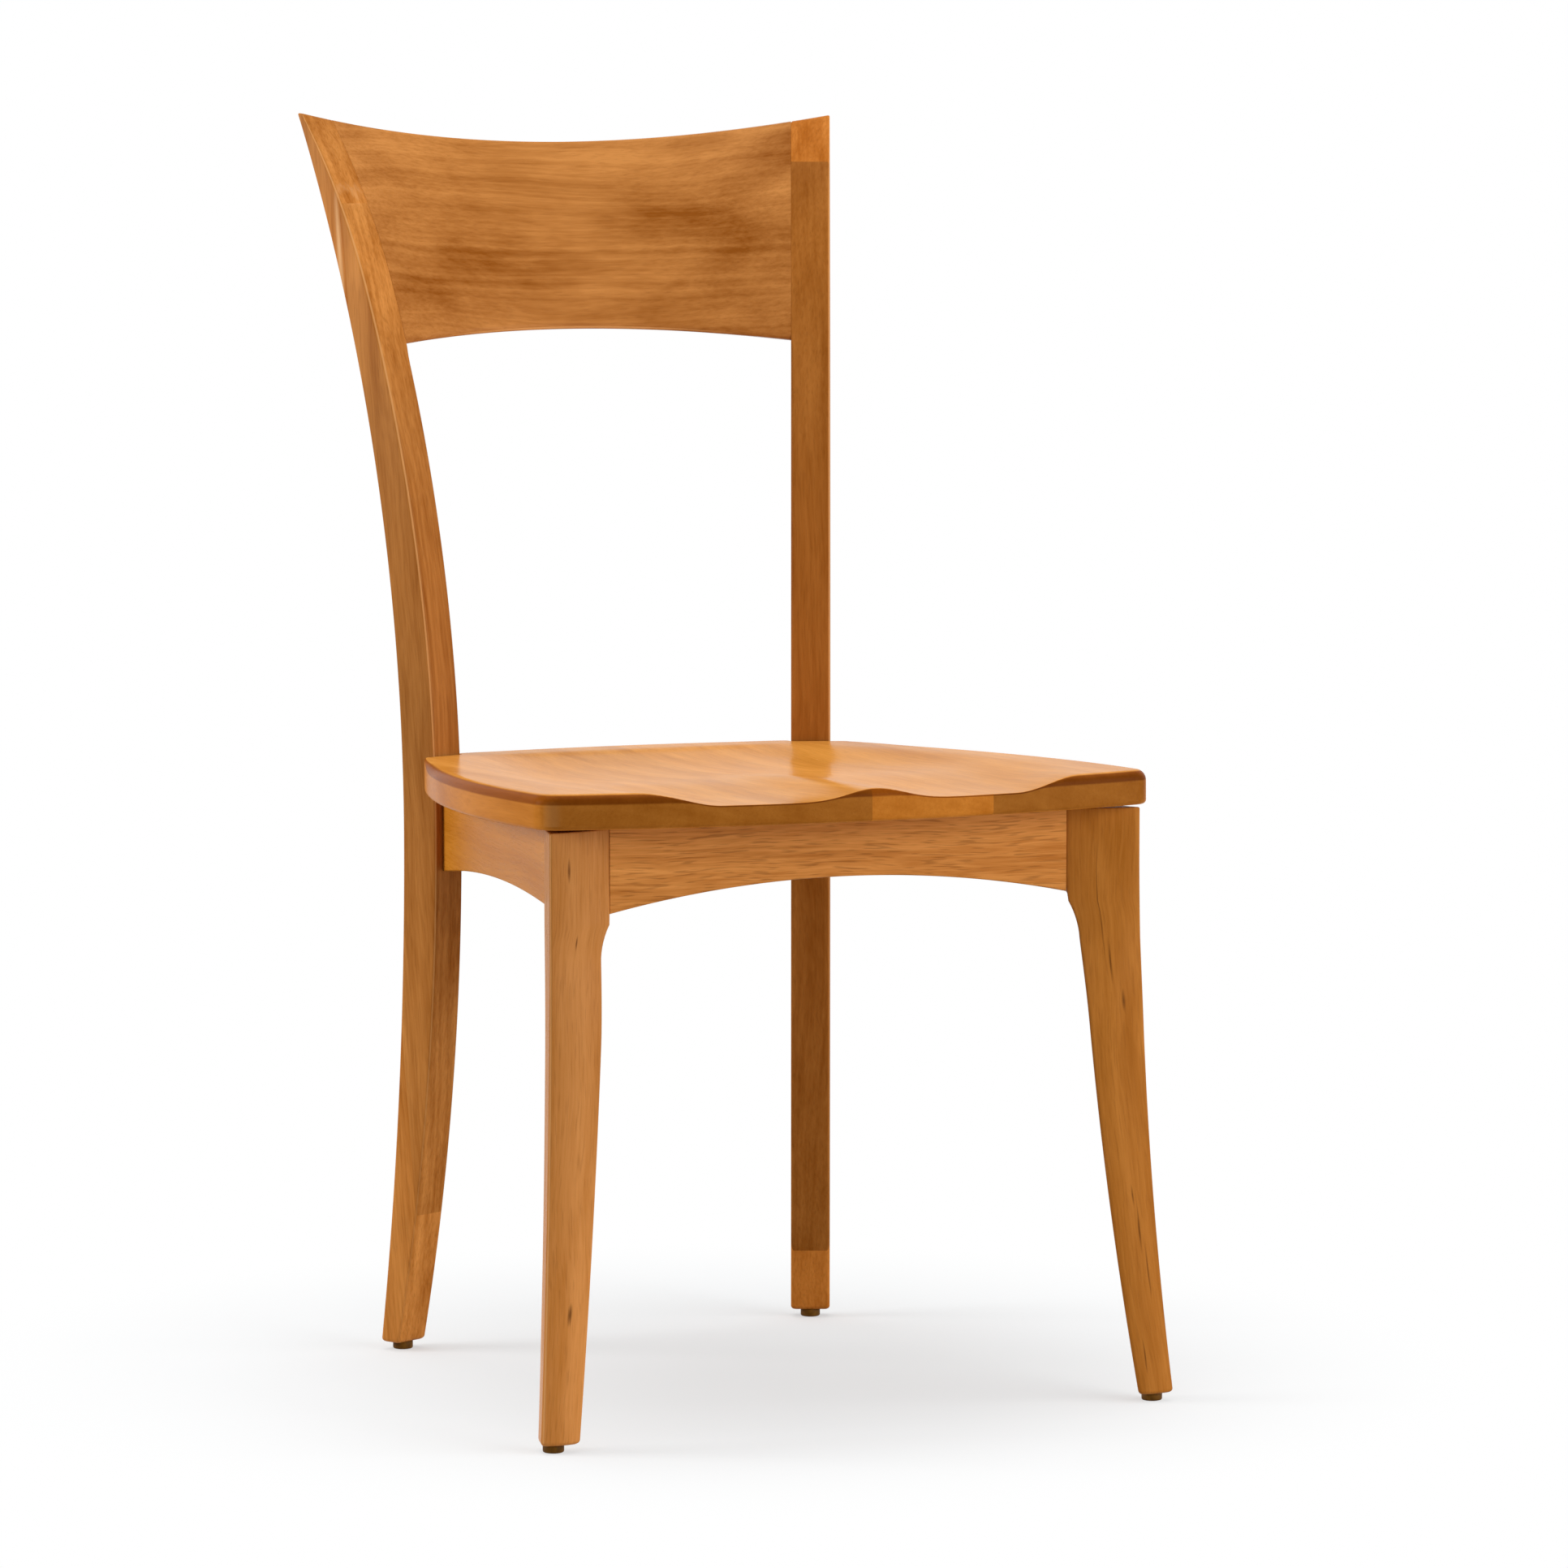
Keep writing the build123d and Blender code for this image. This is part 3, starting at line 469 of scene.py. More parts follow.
def crest_skin():
    """Section of the back's own profile turned about its axis: shares run front to rear and up its face."""
    length = 2 * SPLAY * BACK_RADIUS
    travel, inset = eased_rows(length, BUTT_ROUND, BUTT_ROUND, steps=100)
    loop = arris_loop((CREST_LOWER_ROUND, CREST_ARRIS, CREST_ARRIS, CREST_ARRIS), CREST_RUNS)
    turn = (travel / length * 2 - 1)[:, None] * SPLAY
    tall = CREST_TOP - CREST_BOTTOM
    a, b = section_shares(loop, POST_DEPTH, tall, inset)
    z = CREST_BOTTOM + tall * b
    for _ in range(SETTLE_STEPS):
        away = BACK_RADIUS + post_front(z) + (post_rear(z) - post_front(z)) * a
        x = away * np.sin(turn)
        z = crest_bottom(x) + (crest_top(x) - crest_bottom(x)) * b
    y = BACK_AXIS_Y + away * np.cos(turn)
    return stacked(x, y, z), stacked(x, y, z - CREST_BOTTOM)


def dress(nodes, material):
    """Give solids that stay as they are their material."""
    for node in nodes:
        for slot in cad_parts[node].material_slots:
            slot.material = material


# The crest's edge direction lays a painted highlight along its rounded lower front edge
crest_wood = lacquered_wood("crest_wood", tone(143, 79, 21), tone(202, 135, 70), 14.0, cloud=0.54, flecks=0.1,
                            fibre=0.14, edge=(0.0, -0.88, -0.47))
dowel_wood = lacquered_wood("dowel_wood", tone(176, 140, 98), tone(206, 172, 128), 5.0, roughness=0.7,
                            source="object")
skin("crest_rail_board", *crest_skin(), crest_wood, ["crest_rail"])
dress(["crest_dowels"], dowel_wood)


# Front legs
# Each leg is sawn from one square of hardwood: a keystone shaft swept out and forwards to the foot, a small
# ear where it widens under the apron, and a square head that both aprons are tenoned into. The front is
# planed to a low crown.

SEAT_THICKNESS = 25.0
SEAT_TILT = math.radians(0.75)
LEG_FOOT = np.array([(219.1, -227.0), (248.9, -225.6)])  # inner and outer front corners in plan
LEG_KNEE = np.array([(187.2, -198.0), (232.4, -205.2)])
LEG_HEAD = np.array([(179.3, -188.0), (231.5, -203.5)])
LEG_FOOT_DEPTH = 23.0
LEG_KNEE_DEPTH = 35.0
LEG_HEAD_DEPTH = 43.5
LEG_BOW = np.array([[0.10], [0.18]])
OUTER_LEAN = math.tan(math.radians(18.5))
INNER_LEAN = math.tan(math.radians(28.0))
LEG_CROWN = 3.0
LEG_ARRIS = 2.3
LEG_FOOT_ROUND = 3.0
LEG_TOP_ROUND = 1.0
LEG_TOP_GAP = 2.2
LEG_TOP_Y = -205.0  # its top has the seat's slope, and its height is taken here
LEG_RUNS = (13, 7)  # points across its front and along its side
APRON_DEPTH = 61.9
EAR_LENGTH = 34.0
EAR_DROP = 6.5  # the ear's curve ends this far under the apron
SWEEP_LEAD = 60.0  # the front starts to come back this far under the knee
SWEEP_LENGTH = EAR_LENGTH + 85.0
BACK_LEAD = 9.0  # the inner back corner starts to widen this far under the apron
BACK_LENGTH = 14.0
SIDE_SET_IN = 1.0  # the side apron's outer face lies this far inside the leg
SIDE_ON_POST = 22.0  # and meets the post's front here, from its inner edge


def seat_bottom(y):
    """Height of the seat's underside over Y: a plane that falls to the back."""
    return SEAT_HEIGHT - SEAT_THICKNESS / math.cos(SEAT_TILT) - y * math.tan(SEAT_TILT)


ear_height = seat_bottom(LEG_HEAD[0, 1]) - APRON_DEPTH
knee_height = ear_height - EAR_LENGTH
leg_outer_back = LEG_HEAD[1] + np.array((-LEG_HEAD_DEPTH * OUTER_LEAN, LEG_HEAD_DEPTH))
apron_start = leg_outer_back - np.array((SIDE_SET_IN, 0.0))  # outer face of the side apron, from leg to post
apron_end = np.array(on_post(0.0, SIDE_ON_POST))
apron_run = np.linalg.norm(apron_end - apron_start)
apron_dir = (apron_end - apron_start) / apron_run
apron_in = np.array((-apron_dir[1], apron_dir[0]))


def keystone(inner, outer, depth):
    """Plan corners from the two in front: inner front, outer front, outer back, inner back. The back lies the
    depth behind the outer corner, and both sides close in backwards."""
    back = outer[..., 1] + depth
    outer_back = stacked(outer[..., 0] - depth * OUTER_LEAN, back)
    inner_back = stacked(inner[..., 0] + (back - inner[..., 1]) * INNER_LEAN, back)
    return np.stack([inner, outer, outer_back, inner_back], axis=-2)


def leg_corners(z):
    """Plan corners of the right leg at each height. The front pair bows from foot to knee; over the ear the
    inner line curves out as a parabola while the front comes back slowly, until all meet the square head."""
    share = np.clip((z - GLIDE_HEIGHT) / (knee_height - GLIDE_HEIGHT), 0, 1)
    bowed = share + 4 * LEG_BOW * share * (1 - share)
    inner, outer = LEG_FOOT[:, None] + (LEG_KNEE - LEG_FOOT)[:, None] * bowed[..., None]
    shaft = keystone(inner, outer, LEG_FOOT_DEPTH + (LEG_KNEE_DEPTH - LEG_FOOT_DEPTH) * share)
    knee = keystone(LEG_KNEE[0], LEG_KNEE[1], LEG_KNEE_DEPTH)
    head_back = leg_outer_back[1] + (LEG_HEAD[0, 0] - leg_outer_back[0]) * apron_in[1] / apron_in[0]
    head = np.array([LEG_HEAD[0], LEG_HEAD[1], leg_outer_back, (LEG_HEAD[0, 0], head_back)])
    curve = np.clip((z - knee_height) / (EAR_LENGTH - EAR_DROP), 0, 1)**2
    slow = eased((z - knee_height + SWEEP_LEAD) / SWEEP_LENGTH)
    quick = eased((z - ear_height + BACK_LEAD) / BACK_LENGTH)
    inner_front = stacked(curve, slow)
    outer_pair = stacked(slow, slow)
    inner_back = stacked(quick, quick)
    return shaft + (head - knee) * np.stack([inner_front, outer_pair, outer_pair, inner_back], axis=1)


def leg_skin():
    """Keystone section with rounded arrises carried up the leg; the front is pushed out by a parabola across
    it, and over the knee the rows take on the seat's tilt."""
    top = seat_bottom(LEG_TOP_Y) - LEG_TOP_GAP
    travel, inset = eased_rows(top - GLIDE_HEIGHT, LEG_FOOT_ROUND, LEG_TOP_ROUND, steps=110)
    z = GLIDE_HEIGHT + travel
    corners = leg_corners(z)
    wide = np.linalg.norm(corners[:, 1] - corners[:, 0], axis=-1)[:, None]
    deep = np.linalg.norm(corners[:, 2] - corners[:, 1], axis=-1)[:, None]
    a, b = section_shares(arris_loop((LEG_ARRIS,) * 4, LEG_RUNS), wide, deep, inset)
    weights = stacked((1 - a) * (1 - b), a * (1 - b), a * b, (1 - a) * b)
    plan = np.einsum("rnc,rcd->rnd", weights, corners)
    across = (corners[:, 1] - corners[:, 0]) / wide
    outward = stacked(across[:, 1], -across[:, 0])[:, None]
    plan += outward * (LEG_CROWN * 4 * a * (1 - a) * (1 - b))[..., None]
    height = z[:, None] + 0 * a
    height -= (travel > knee_height)[:, None] * (plan[..., 1] - LEG_TOP_Y) * math.tan(SEAT_TILT)
    grain = stacked(height, (a - 0.5) * wide, b * deep)
    return np.concatenate([plan, height[..., None]], axis=-1), grain


leg_points, leg_grain = leg_skin()
gum = tone(86, 44, 6)
right_marks = [(0.318, -0.002, 0.016, 0.0010, gum), (0.290, 0.004, 0.010, 0.0012, gum),
               (0.128, 0.003, 0.022, 0.0010, gum), (0.095, 0.006, 0.018, 0.0009, gum),
               (0.150, 0.001, 0.010, 0.0008, gum), (0.362, -0.005, 0.045, 0.0007, gum),
               (0.035, -0.006, 0.014, 0.0008, gum)]
left_marks = [(0.096, -0.001, 0.009, 0.0014, gum), (0.402, 0.012, 0.010, 0.0012, gum),
              (0.352, 0.004, 0.006, 0.0010, gum)]
leg_wood_right = lacquered_wood("leg_wood_right", tone(156, 91, 25), tone(192, 123, 52), 21.0,
                                marks=right_marks)
# Left leg: painted light by height, lighter at the foot, and a painted highlight on its outer front arris
leg_wood_left = lacquered_wood("leg_wood_left", tone(178, 111, 47), tone(210, 142, 78), 27.0,
                               marks=left_marks, painted_light=((0.08, 1.14), (0.25, 0.97), (0.40, 0.88)),
                               edge=(-0.7, -0.7, 0.0))
skin("leg_front_right", leg_points, leg_grain, leg_wood_right, ["front_leg_right"])
skin("leg_front_left", leg_points * MIRROR, leg_grain, leg_wood_left, ["front_leg_left"])


# Aprons
# Four boards on edge under the seat, tenoned into legs and posts. The front one has a deep arch, the side
# ones a gentle one, and the rear one is straight; their lower arrises are lightly sanded.

APRON_THICKNESS = 20.0
SIDE_THICKNESS = 18.0
APRON_ARRIS = 1.4
APRON_RUNS = (5, 8)  # points through the thickness and up the face
JOINT_GAP = 0.1
ARCH_SHARE = 0.30  # rise of the front arch, of the apron's depth
SIDE_APEX_AT = 118.0  # top of the side arch, from the leg
SIDE_APEX_DEPTH = 51.0
SIDE_DEPTH = 60.0
SIDE_ARCH_RADIUS = 1800.0
REAR_SET_BACK = 6.0  # the rear apron's face, behind the posts' inner front edges
REAR_DEPTH = 57.8
REAR_LENGTH = 270.0
front_y = LEG_HEAD[0, 1]
front_half = LEG_HEAD[0, 0] - JOINT_GAP
arch_rise = APRON_DEPTH * ARCH_SHARE
arch_radius = (LEG_HEAD[0, 0]**2 + arch_rise**2) / (2 * arch_rise)
side_apex = seat_bottom(apron_start[1] + apron_dir[1] * SIDE_APEX_AT) - SIDE_APEX_DEPTH
rear_y = on_post(0.0, 0.0)[1] + REAR_SET_BACK
rear_low = seat_bottom(rear_y + SIDE_THICKNESS) - REAR_DEPTH
post_inward = np.array((math.sin(SPLAY), math.cos(SPLAY)))


def apron_rows(length, deep, thick, steps):
    """Shares of an apron's length, thickness and height for rows along it, its lower edges rounded."""
    travel, inset = eased_rows(length, BUTT_ROUND, BUTT_ROUND, steps)
    loop = arris_loop((APRON_ARRIS, APRON_ARRIS, JOINT_ARRIS, JOINT_ARRIS), APRON_RUNS)
    a, b = section_shares(loop, thick, deep, inset)
    return (travel / length)[:, None] + 0 * a, a, b


def front_apron_skin():
    """Board along X: lower edge on the arch, upper edge on the seat's underside."""
    share, a, b = apron_rows(2 * front_half, APRON_DEPTH, APRON_THICKNESS, steps=90)
    x = front_half * (2 * share - 1)
    y = front_y + APRON_THICKNESS * a
    low = ear_height + arch_rise - arc_offset(arch_radius, x)
    z = low + (seat_bottom(y) - JOINT_GAP - low) * b
    points = stacked(x, y, z)
    return points, points


def side_apron_skin():
    """Board from leg to post, cut off at the rear on the plane of the post's front: each line ends where its
    inward place meets that plane."""
    share, a, b = apron_rows(apron_run, SIDE_DEPTH, SIDE_THICKNESS, steps=70)
    inward = SIDE_THICKNESS * a
    start = apron_start + apron_in * inward[..., None]
    front_of_post = np.array(on_post(-JOINT_GAP, 0.0))
    reach = ((front_of_post - start) @ post_inward) / (apron_dir @ post_inward)
    along = JOINT_GAP + (reach - JOINT_GAP) * share
    plan = start + apron_dir * along[..., None]
    low = side_apex - arc_offset(SIDE_ARCH_RADIUS, along - SIDE_APEX_AT)
    z = low + (seat_bottom(plan[..., 1]) - JOINT_GAP - low) * b
    return np.concatenate([plan, z[..., None]], axis=-1), stacked(along, inward, z)


def rear_apron_skin():
    """Straight board whose ends follow the posts' inner faces: half length grows with Y."""
    share, a, b = apron_rows(REAR_LENGTH, REAR_DEPTH, SIDE_THICKNESS, steps=30)
    y = rear_y + SIDE_THICKNESS * a
    half = (y - BACK_AXIS_Y) * math.tan(SPLAY) - JOINT_GAP
    x = half * (2 * share - 1)
    z = rear_low + (seat_bottom(y) - JOINT_GAP - rear_low) * b
    points = stacked(x, y, z)
    return points, points


front_apron_wood = lacquered_wood("front_apron_wood", tone(176, 106, 42), tone(220, 148, 76), 33.0,
                                  cloud=0.14, flecks=0.36, fibre=0.34)
side_apron_wood = lacquered_wood("side_apron_wood", tone(184, 110, 24), tone(208, 134, 44), 41.0, flecks=0.08)
rear_apron_wood = lacquered_wood("rear_apron_wood", tone(150, 84, 18), tone(196, 126, 56), 47.0)
side_points, side_grain = side_apron_skin()
skin("apron_front", *front_apron_skin(), front_apron_wood, ["front_apron"])
skin("apron_rear", *rear_apron_skin(), rear_apron_wood, ["rear_apron"])
skin("apron_side_right", side_points, side_grain, side_apron_wood, ["side_apron_right"])
skin("apron_side_left", side_points * MIRROR, side_grain, side_apron_wood, ["side_apron_left"])


# Corner blocks and screws
# Sawn softwood blocks, glued and screwed into the four corners of the apron frame, with zinc-plated screws
# into the aprons and up into the seat. They are left unfinished, as nobody sees them from above.


def zinc_plate(name):
    """Zinc-plated steel: a metal whose brightness and roughness wander with a fine noise."""
    material, tree, shader = new_material(name)
    place = add_node(tree, "TexCoord", {}).outputs["Object"]
    mottle = add_node(tree, "TexNoise", {"Vector": place, "Scale": 900.0, "Detail": 3.0}).outputs["Fac"]
    colour = add_ramp(tree, mottle, [(0.35, tone(168, 166, 158)), (0.65, tone(206, 204, 198))])
    rough = add_math(tree, "MULTIPLY_ADD", mottle, 0.25, 0.22)
    fill(tree, shader, {"Base Color": colour, "Roughness": rough, "Metallic": 1.0})
    return material


block_wood = lacquered_wood("block_wood", tone(188, 148, 100), tone(222, 188, 142), 52.0, roughness=0.75,
                            source="object")
screw_zinc = zinc_plate("screw_zinc")
dress([f"corner_block_{end}_{side}" for end in ("front", "rear") for side in ("left", "right")], block_wood)
dress(["corner_block_screws", "seat_screws", "glide_nails"], screw_zinc)


# Seat
# Four boards glued edge to edge with the grain running front to back, then scooped to a saddle with a ridge
# between the thighs. The edge was rounded before the scoop was cut, so its round fades out where the hollows
# reach the front.

SEAT_FRONT = -244.9
SEAT_FRONT_RADIUS = 750.0
SEAT_CORNER_X = 238.5
SEAT_CORNER_ROUND = 20.0
SEAT_SIDE_BULGE = 21.5
SEAT_PAST_POST = 12.0  # the horn reaches this far past the post's outer face
HORN_ROUND = 9.0
SEAT_REAR = 206.0
SEAT_REAR_RADIUS = 600.0
REAR_CORNER_ROUND = 6.0
REAR_SETTLE_STEPS = 8
CORNER_REACH = 14.0  # the two edges at a corner are taken as straight over this length
HORN_REACH = 12.0
TOP_ROUND = 8.0  # round of the top edge in front and along the sides
HORN_TOP_ROUND = 2.5
NOTCH_TOP_ROUND = 1.2
REAR_TOP_ROUND = 4.0
HORN_EBB = 70.0  # length over which the top round shrinks towards the horn
REAR_GROWTH = 40.0  # and over which it grows again along the rear
LOWER_ROUND = 3.0
SCOOP_DEPTH = 9.0
FRONT_FALL = 1.2  # how much deeper the hollows are at the front edge
OPENING_LENGTH = 150.0  # length over which the bowl opens into the two hollows
OPENING_HALF = 172.0  # from the middle to a hollow's outer edge at the front
OPENING_STEEPER = 20.0  # how much narrower the hollow's wall is there
BOWL_RIM = 26.0  # flat left beside the bowl
BOWL_WALL = 78.0
BOWL_REAR = 165.0  # the bowl starts to rise this far before the seat's rear
BOWL_RISE = 135.0
REAR_LIP = 0.3  # share of the depth from which the rear wall eases out to the flat
RIDGE_WIDTH = 30.0
RIDGE_TAPER = 0.3
RIDGE_TAPER_LENGTH = 170.0
RIDGE_RISE = 0.82  # share of the scoop's depth that the ridge fills at the front
RIDGE_LENGTH = 265.0
RIDGE_FADE = 0.67  # share of its length over which it sinks
SWELL = 0.34  # share of the scoop's depth that the swell under the thighs fills
SWELL_Y = -85.0
SWELL_WIDTH = 75.0
SCOOP_LIP = 0.9  # round of the edge where the hollow runs out at the front
SCOOP_BLEND = 0.8
SEAT_MIDDLE = np.array((0.0, -20.0))
FAN_RADIUS = 80.0  # round the middle the rows are an even fan
FAN_CORE = 0.02
FAR_IN = 99.0  # inset at which no edge is rounded
TOP_LEAD = 1.6  # the rows follow the edge from this many rounds and the gap in
TOP_LEAD_GAP = 0.6
LOWER_GUARD = 0.5
BOARD_LINES = (-0.103, -0.004, 0.094)  # glue lines between the boards, in metres


def front_edge(x):
    """Y of the seat's front edge over X: a shallow arc."""
    return SEAT_FRONT + arc_offset(SEAT_FRONT_RADIUS, x)


def rear_edge(x):
    """Y of the seat's rear edge over X: a shallow arc."""
    return SEAT_REAR - arc_offset(SEAT_REAR_RADIUS, x)


notch_front = post_front(seat_bottom(on_post(0.0, 0.0)[1])) - JOINT_GAP
seat_corner = np.array((SEAT_CORNER_X, front_edge(SEAT_CORNER_X)))
horn = np.array(on_post(notch_front, POST_WIDTH + SEAT_PAST_POST))


def seat_side(y):
    """Half width of the seat over Y: straight from corner to horn plus a parabola for the bulge."""
    t = (y - seat_corner[1]) / (horn[1] - seat_corner[1])
    return SEAT_CORNER_X + (horn[0] - SEAT_CORNER_X) * t + 4 * SEAT_SIDE_BULGE * t * (1 - t)


def scoop(x, y):
    """Depth of the saddle: an eased step in from both sides and a parabola from the rear, less a bell-shaped
    ridge at the front. A low swell under the thighs parts the bowl from both hollows in front."""
    opening = eased((SEAT_FRONT + OPENING_LENGTH - y) / OPENING_LENGTH)
    half = (seat_side(y) - BOWL_RIM) * (1 - opening) + OPENING_HALF * opening
    side = eased((half - np.abs(x)) / (BOWL_WALL - OPENING_STEEPER * opening))
    rear = 1 - np.clip((y - SEAT_REAR + BOWL_REAR) / BOWL_RISE, 0, 1)**2
    rear = np.where(rear < REAR_LIP, eased(rear / REAR_LIP) * rear, rear)
    rise = RIDGE_RISE * eased((SEAT_FRONT + RIDGE_LENGTH - y) / (RIDGE_FADE * RIDGE_LENGTH))
    width = RIDGE_WIDTH * (1 - RIDGE_TAPER * eased((y - SEAT_FRONT) / RIDGE_TAPER_LENGTH))
    swell = 1 - SWELL * np.exp(-((y - SWELL_Y) / SWELL_WIDTH)**2)
    depth = SCOOP_DEPTH + FRONT_FALL * opening
    return depth * side * rear * swell * (1 - rise * np.exp(-(x / width)**2))


def round_corner(before, corner, after, radius, steps):
    """Arc that is tangent to the two lines through a corner."""
    a = (before - corner) / np.linalg.norm(before - corner)
    b = (after - corner) / np.linalg.norm(after - corner)
    half = 0.5 * math.acos(float(a @ b))
    middle = (a + b) / np.linalg.norm(a + b)
    centre = corner + middle * radius / math.sin(half)
    turn = np.linspace(-1, 1, steps)[:, None] * (math.pi / 2 - half)
    across = (b - a) / np.linalg.norm(b - a)
    return centre + radius * (across * np.sin(turn) - middle * np.cos(turn))


def seat_outline():
    """Plan of the seat's edge from the middle of the front round the right side to the middle of the rear,
    then mirrored; with it goes the size of the top round, small along the posts' notches. The rear corner is
    found by stepping between the rear edge and the post's inner face."""
    corner_in = np.array((SEAT_CORNER_X - CORNER_REACH, front_edge(SEAT_CORNER_X - CORNER_REACH)))
    corner_out_y = seat_corner[1] + CORNER_REACH
    corner_out = np.array((seat_side(corner_out_y), corner_out_y))
    corner = round_corner(corner_in, seat_corner, corner_out, SEAT_CORNER_ROUND, steps=17)
    notch_in = np.array(on_post(notch_front, -JOINT_GAP))
    horn_out_y = horn[1] - HORN_REACH
    horn_out = np.array((seat_side(horn_out_y), horn_out_y))
    horn_arc = round_corner(horn_out, horn, notch_in, HORN_ROUND, steps=11)
    rear_x = notch_in[0]
    for _ in range(REAR_SETTLE_STEPS):
        rear_x = (rear_edge(rear_x) - BACK_AXIS_Y) * math.tan(SPLAY) - JOINT_GAP
    rear_corner = np.array((rear_x, rear_edge(rear_x)))
    rear_in = np.array((rear_x - HORN_REACH, rear_edge(rear_x - HORN_REACH)))
    rear_arc = round_corner(notch_in, rear_corner, rear_in, REAR_CORNER_ROUND, steps=8)
    front_x = np.linspace(0, corner[0, 0], 61)[:-1]
    front = stacked(front_x, front_edge(front_x))
    side_y = np.linspace(corner[-1, 1], horn_arc[0, 1], 62)[1:-1]
    side = stacked(seat_side(side_y), side_y)
    notch = horn_arc[-1] + (notch_in - horn_arc[-1]) * np.linspace(0, 1, 12)[1:, None]
    inner = notch_in + (rear_arc[0] - notch_in) * np.linspace(0, 1, 6)[1:-1, None]
    rear_run = np.linspace(rear_arc[-1, 0], 0, 42)[1:]
    rear = stacked(rear_run, rear_edge(rear_run))
    half = np.concatenate([front, corner, side, horn_arc, notch, inner, rear_arc, rear])
    shrunk = eased((side_y - side_y[-1] + HORN_EBB) / HORN_EBB)
    grown = eased((rear_arc[-1, 0] - rear_run) / REAR_GROWTH)
    size = np.concatenate([np.full(len(front) + len(corner), TOP_ROUND),
                           TOP_ROUND + (HORN_TOP_ROUND - TOP_ROUND) * shrunk,
                           np.linspace(HORN_TOP_ROUND, NOTCH_TOP_ROUND, len(horn_arc)),
                           np.full(len(notch) + len(inner) + len(rear_arc), NOTCH_TOP_ROUND),
                           NOTCH_TOP_ROUND + (REAR_TOP_ROUND - NOTCH_TOP_ROUND) * grown])
    other = half[-2:0:-1] * np.array((-1.0, 1.0))
    return np.concatenate([half, other]), np.concatenate([size, size[-2:0:-1]])


def round_drop(inset, radius):
    """How far a rounded-over edge lies below the flat at an inset from the edge: a quarter circle."""
    short = np.clip(radius - inset, 0, radius)
    return radius - np.sqrt(np.maximum(radius**2 - short**2, 0))


def seat_skin():
    """Rings from the middle of the top out over the rounded edge, down the side and in under the seat. The
    top is the deeper of scoop and edge round, blended by a smooth maximum; then the whole is tilted."""
    edge, size = seat_outline()
    around = len(edge)
    tangent = np.roll(edge, -1, axis=0) - np.roll(edge, 1, axis=0)
    tangent /= np.linalg.norm(tangent, axis=-1)[:, None]
    inward = stacked(-tangent[:, 1], tangent[:, 0])

    # Top, from an even fan at the middle out to the edge
    turn = np.linspace(math.pi / 2, 0, 9)[:, None]
    edge_insets = np.concatenate([[size * TOP_LEAD + TOP_LEAD_GAP], [size + EDGE_GUARD],
                                  size * (1 - np.cos(turn))])
    top_edge = edge + inward * edge_insets[..., None]
    turn_round = np.arange(around) * 2 * math.pi / around
    ring = SEAT_MIDDLE + FAN_RADIUS * stacked(np.sin(turn_round), -np.cos(turn_round))
    fan_rows = SEAT_MIDDLE + (ring - SEAT_MIDDLE) * np.linspace(FAN_CORE, 1, 16)[:, None, None]
    outer_rows = ring + (top_edge[0] - ring) * np.linspace(0, 1, 34)[1:-1, None, None]
    plan_top = np.concatenate([fan_rows, outer_rows, top_edge])
    insets = np.concatenate([np.full((len(fan_rows) + len(outer_rows), around), FAR_IN), edge_insets])
    hollow = scoop(plan_top[..., 0], plan_top[..., 1]) + round_drop(insets, np.minimum(size, SCOOP_LIP))
    over = round_drop(insets, size)
    blend = np.clip(0.5 + (hollow - over) / (2 * SCOOP_BLEND), 0, 1)
    depth = over + (hollow - over) * blend + SCOOP_BLEND * blend * (1 - blend)

    # Side, lower round and underside
    low = -SEAT_THICKNESS + LOWER_ROUND
    share = np.array([0.03, 0.25, 0.5, 0.75, 0.97])[:, None]
    side_z = -depth[-1] + (low + depth[-1]) * share
    under = np.linspace(0, math.pi / 2, 7)[:, None]
    under_inset = np.concatenate([LOWER_ROUND * (1 - np.cos(under)), [[LOWER_ROUND + LOWER_GUARD]]])
    under_z = np.concatenate([low - LOWER_ROUND * np.sin(under), [[-SEAT_THICKNESS]]])
    plan_under = edge + inward * under_inset[..., None]
    closing = np.array([0.75, 0.5, 0.25, FAN_CORE])[:, None, None]
    plan_base = SEAT_MIDDLE + (plan_under[-1] - SEAT_MIDDLE) * closing
    plan = np.concatenate([plan_top, edge + 0 * share[..., None], plan_under, plan_base])
    base_z = np.full((len(closing), around), -SEAT_THICKNESS)
    z = np.concatenate([-depth, side_z, under_z * np.ones(around), base_z])
    x, y = plan[..., 0], plan[..., 1]
    tilted_y = y * math.cos(SEAT_TILT) + z * math.sin(SEAT_TILT)
    tilted_z = SEAT_HEIGHT + z * math.cos(SEAT_TILT) - y * math.sin(SEAT_TILT)
    return stacked(x, tilted_y, tilted_z), stacked(y, x, z)


# The seat's tones are its wood's tones set lighter, with painted reflection in them; the edge direction lays
# a painted highlight on its left front corner
seat_wood = lacquered_wood("seat_wood", tone(202, 129, 46), tone(232, 159, 74), 60.0, glue_lines=BOARD_LINES,
                           shades=(1.0, 0.95, 1.03, 0.98), end_shades=(0.60, 0.62, 0.86, 0.53), flecks=0.08,
                           edge=(-0.60, -0.78, 0.12), roughness=0.24, gloss=0.012)
skin("seat_saddle", *seat_skin(), seat_wood, [f"seat_board_{i}" for i in range(1, 5)], "seat_wood")


# Floor glides
# Moulded brown plastic pads, one under each foot, held by a nail whose head sits in a recess. The lower rim
# is rounded so that the chair slides.

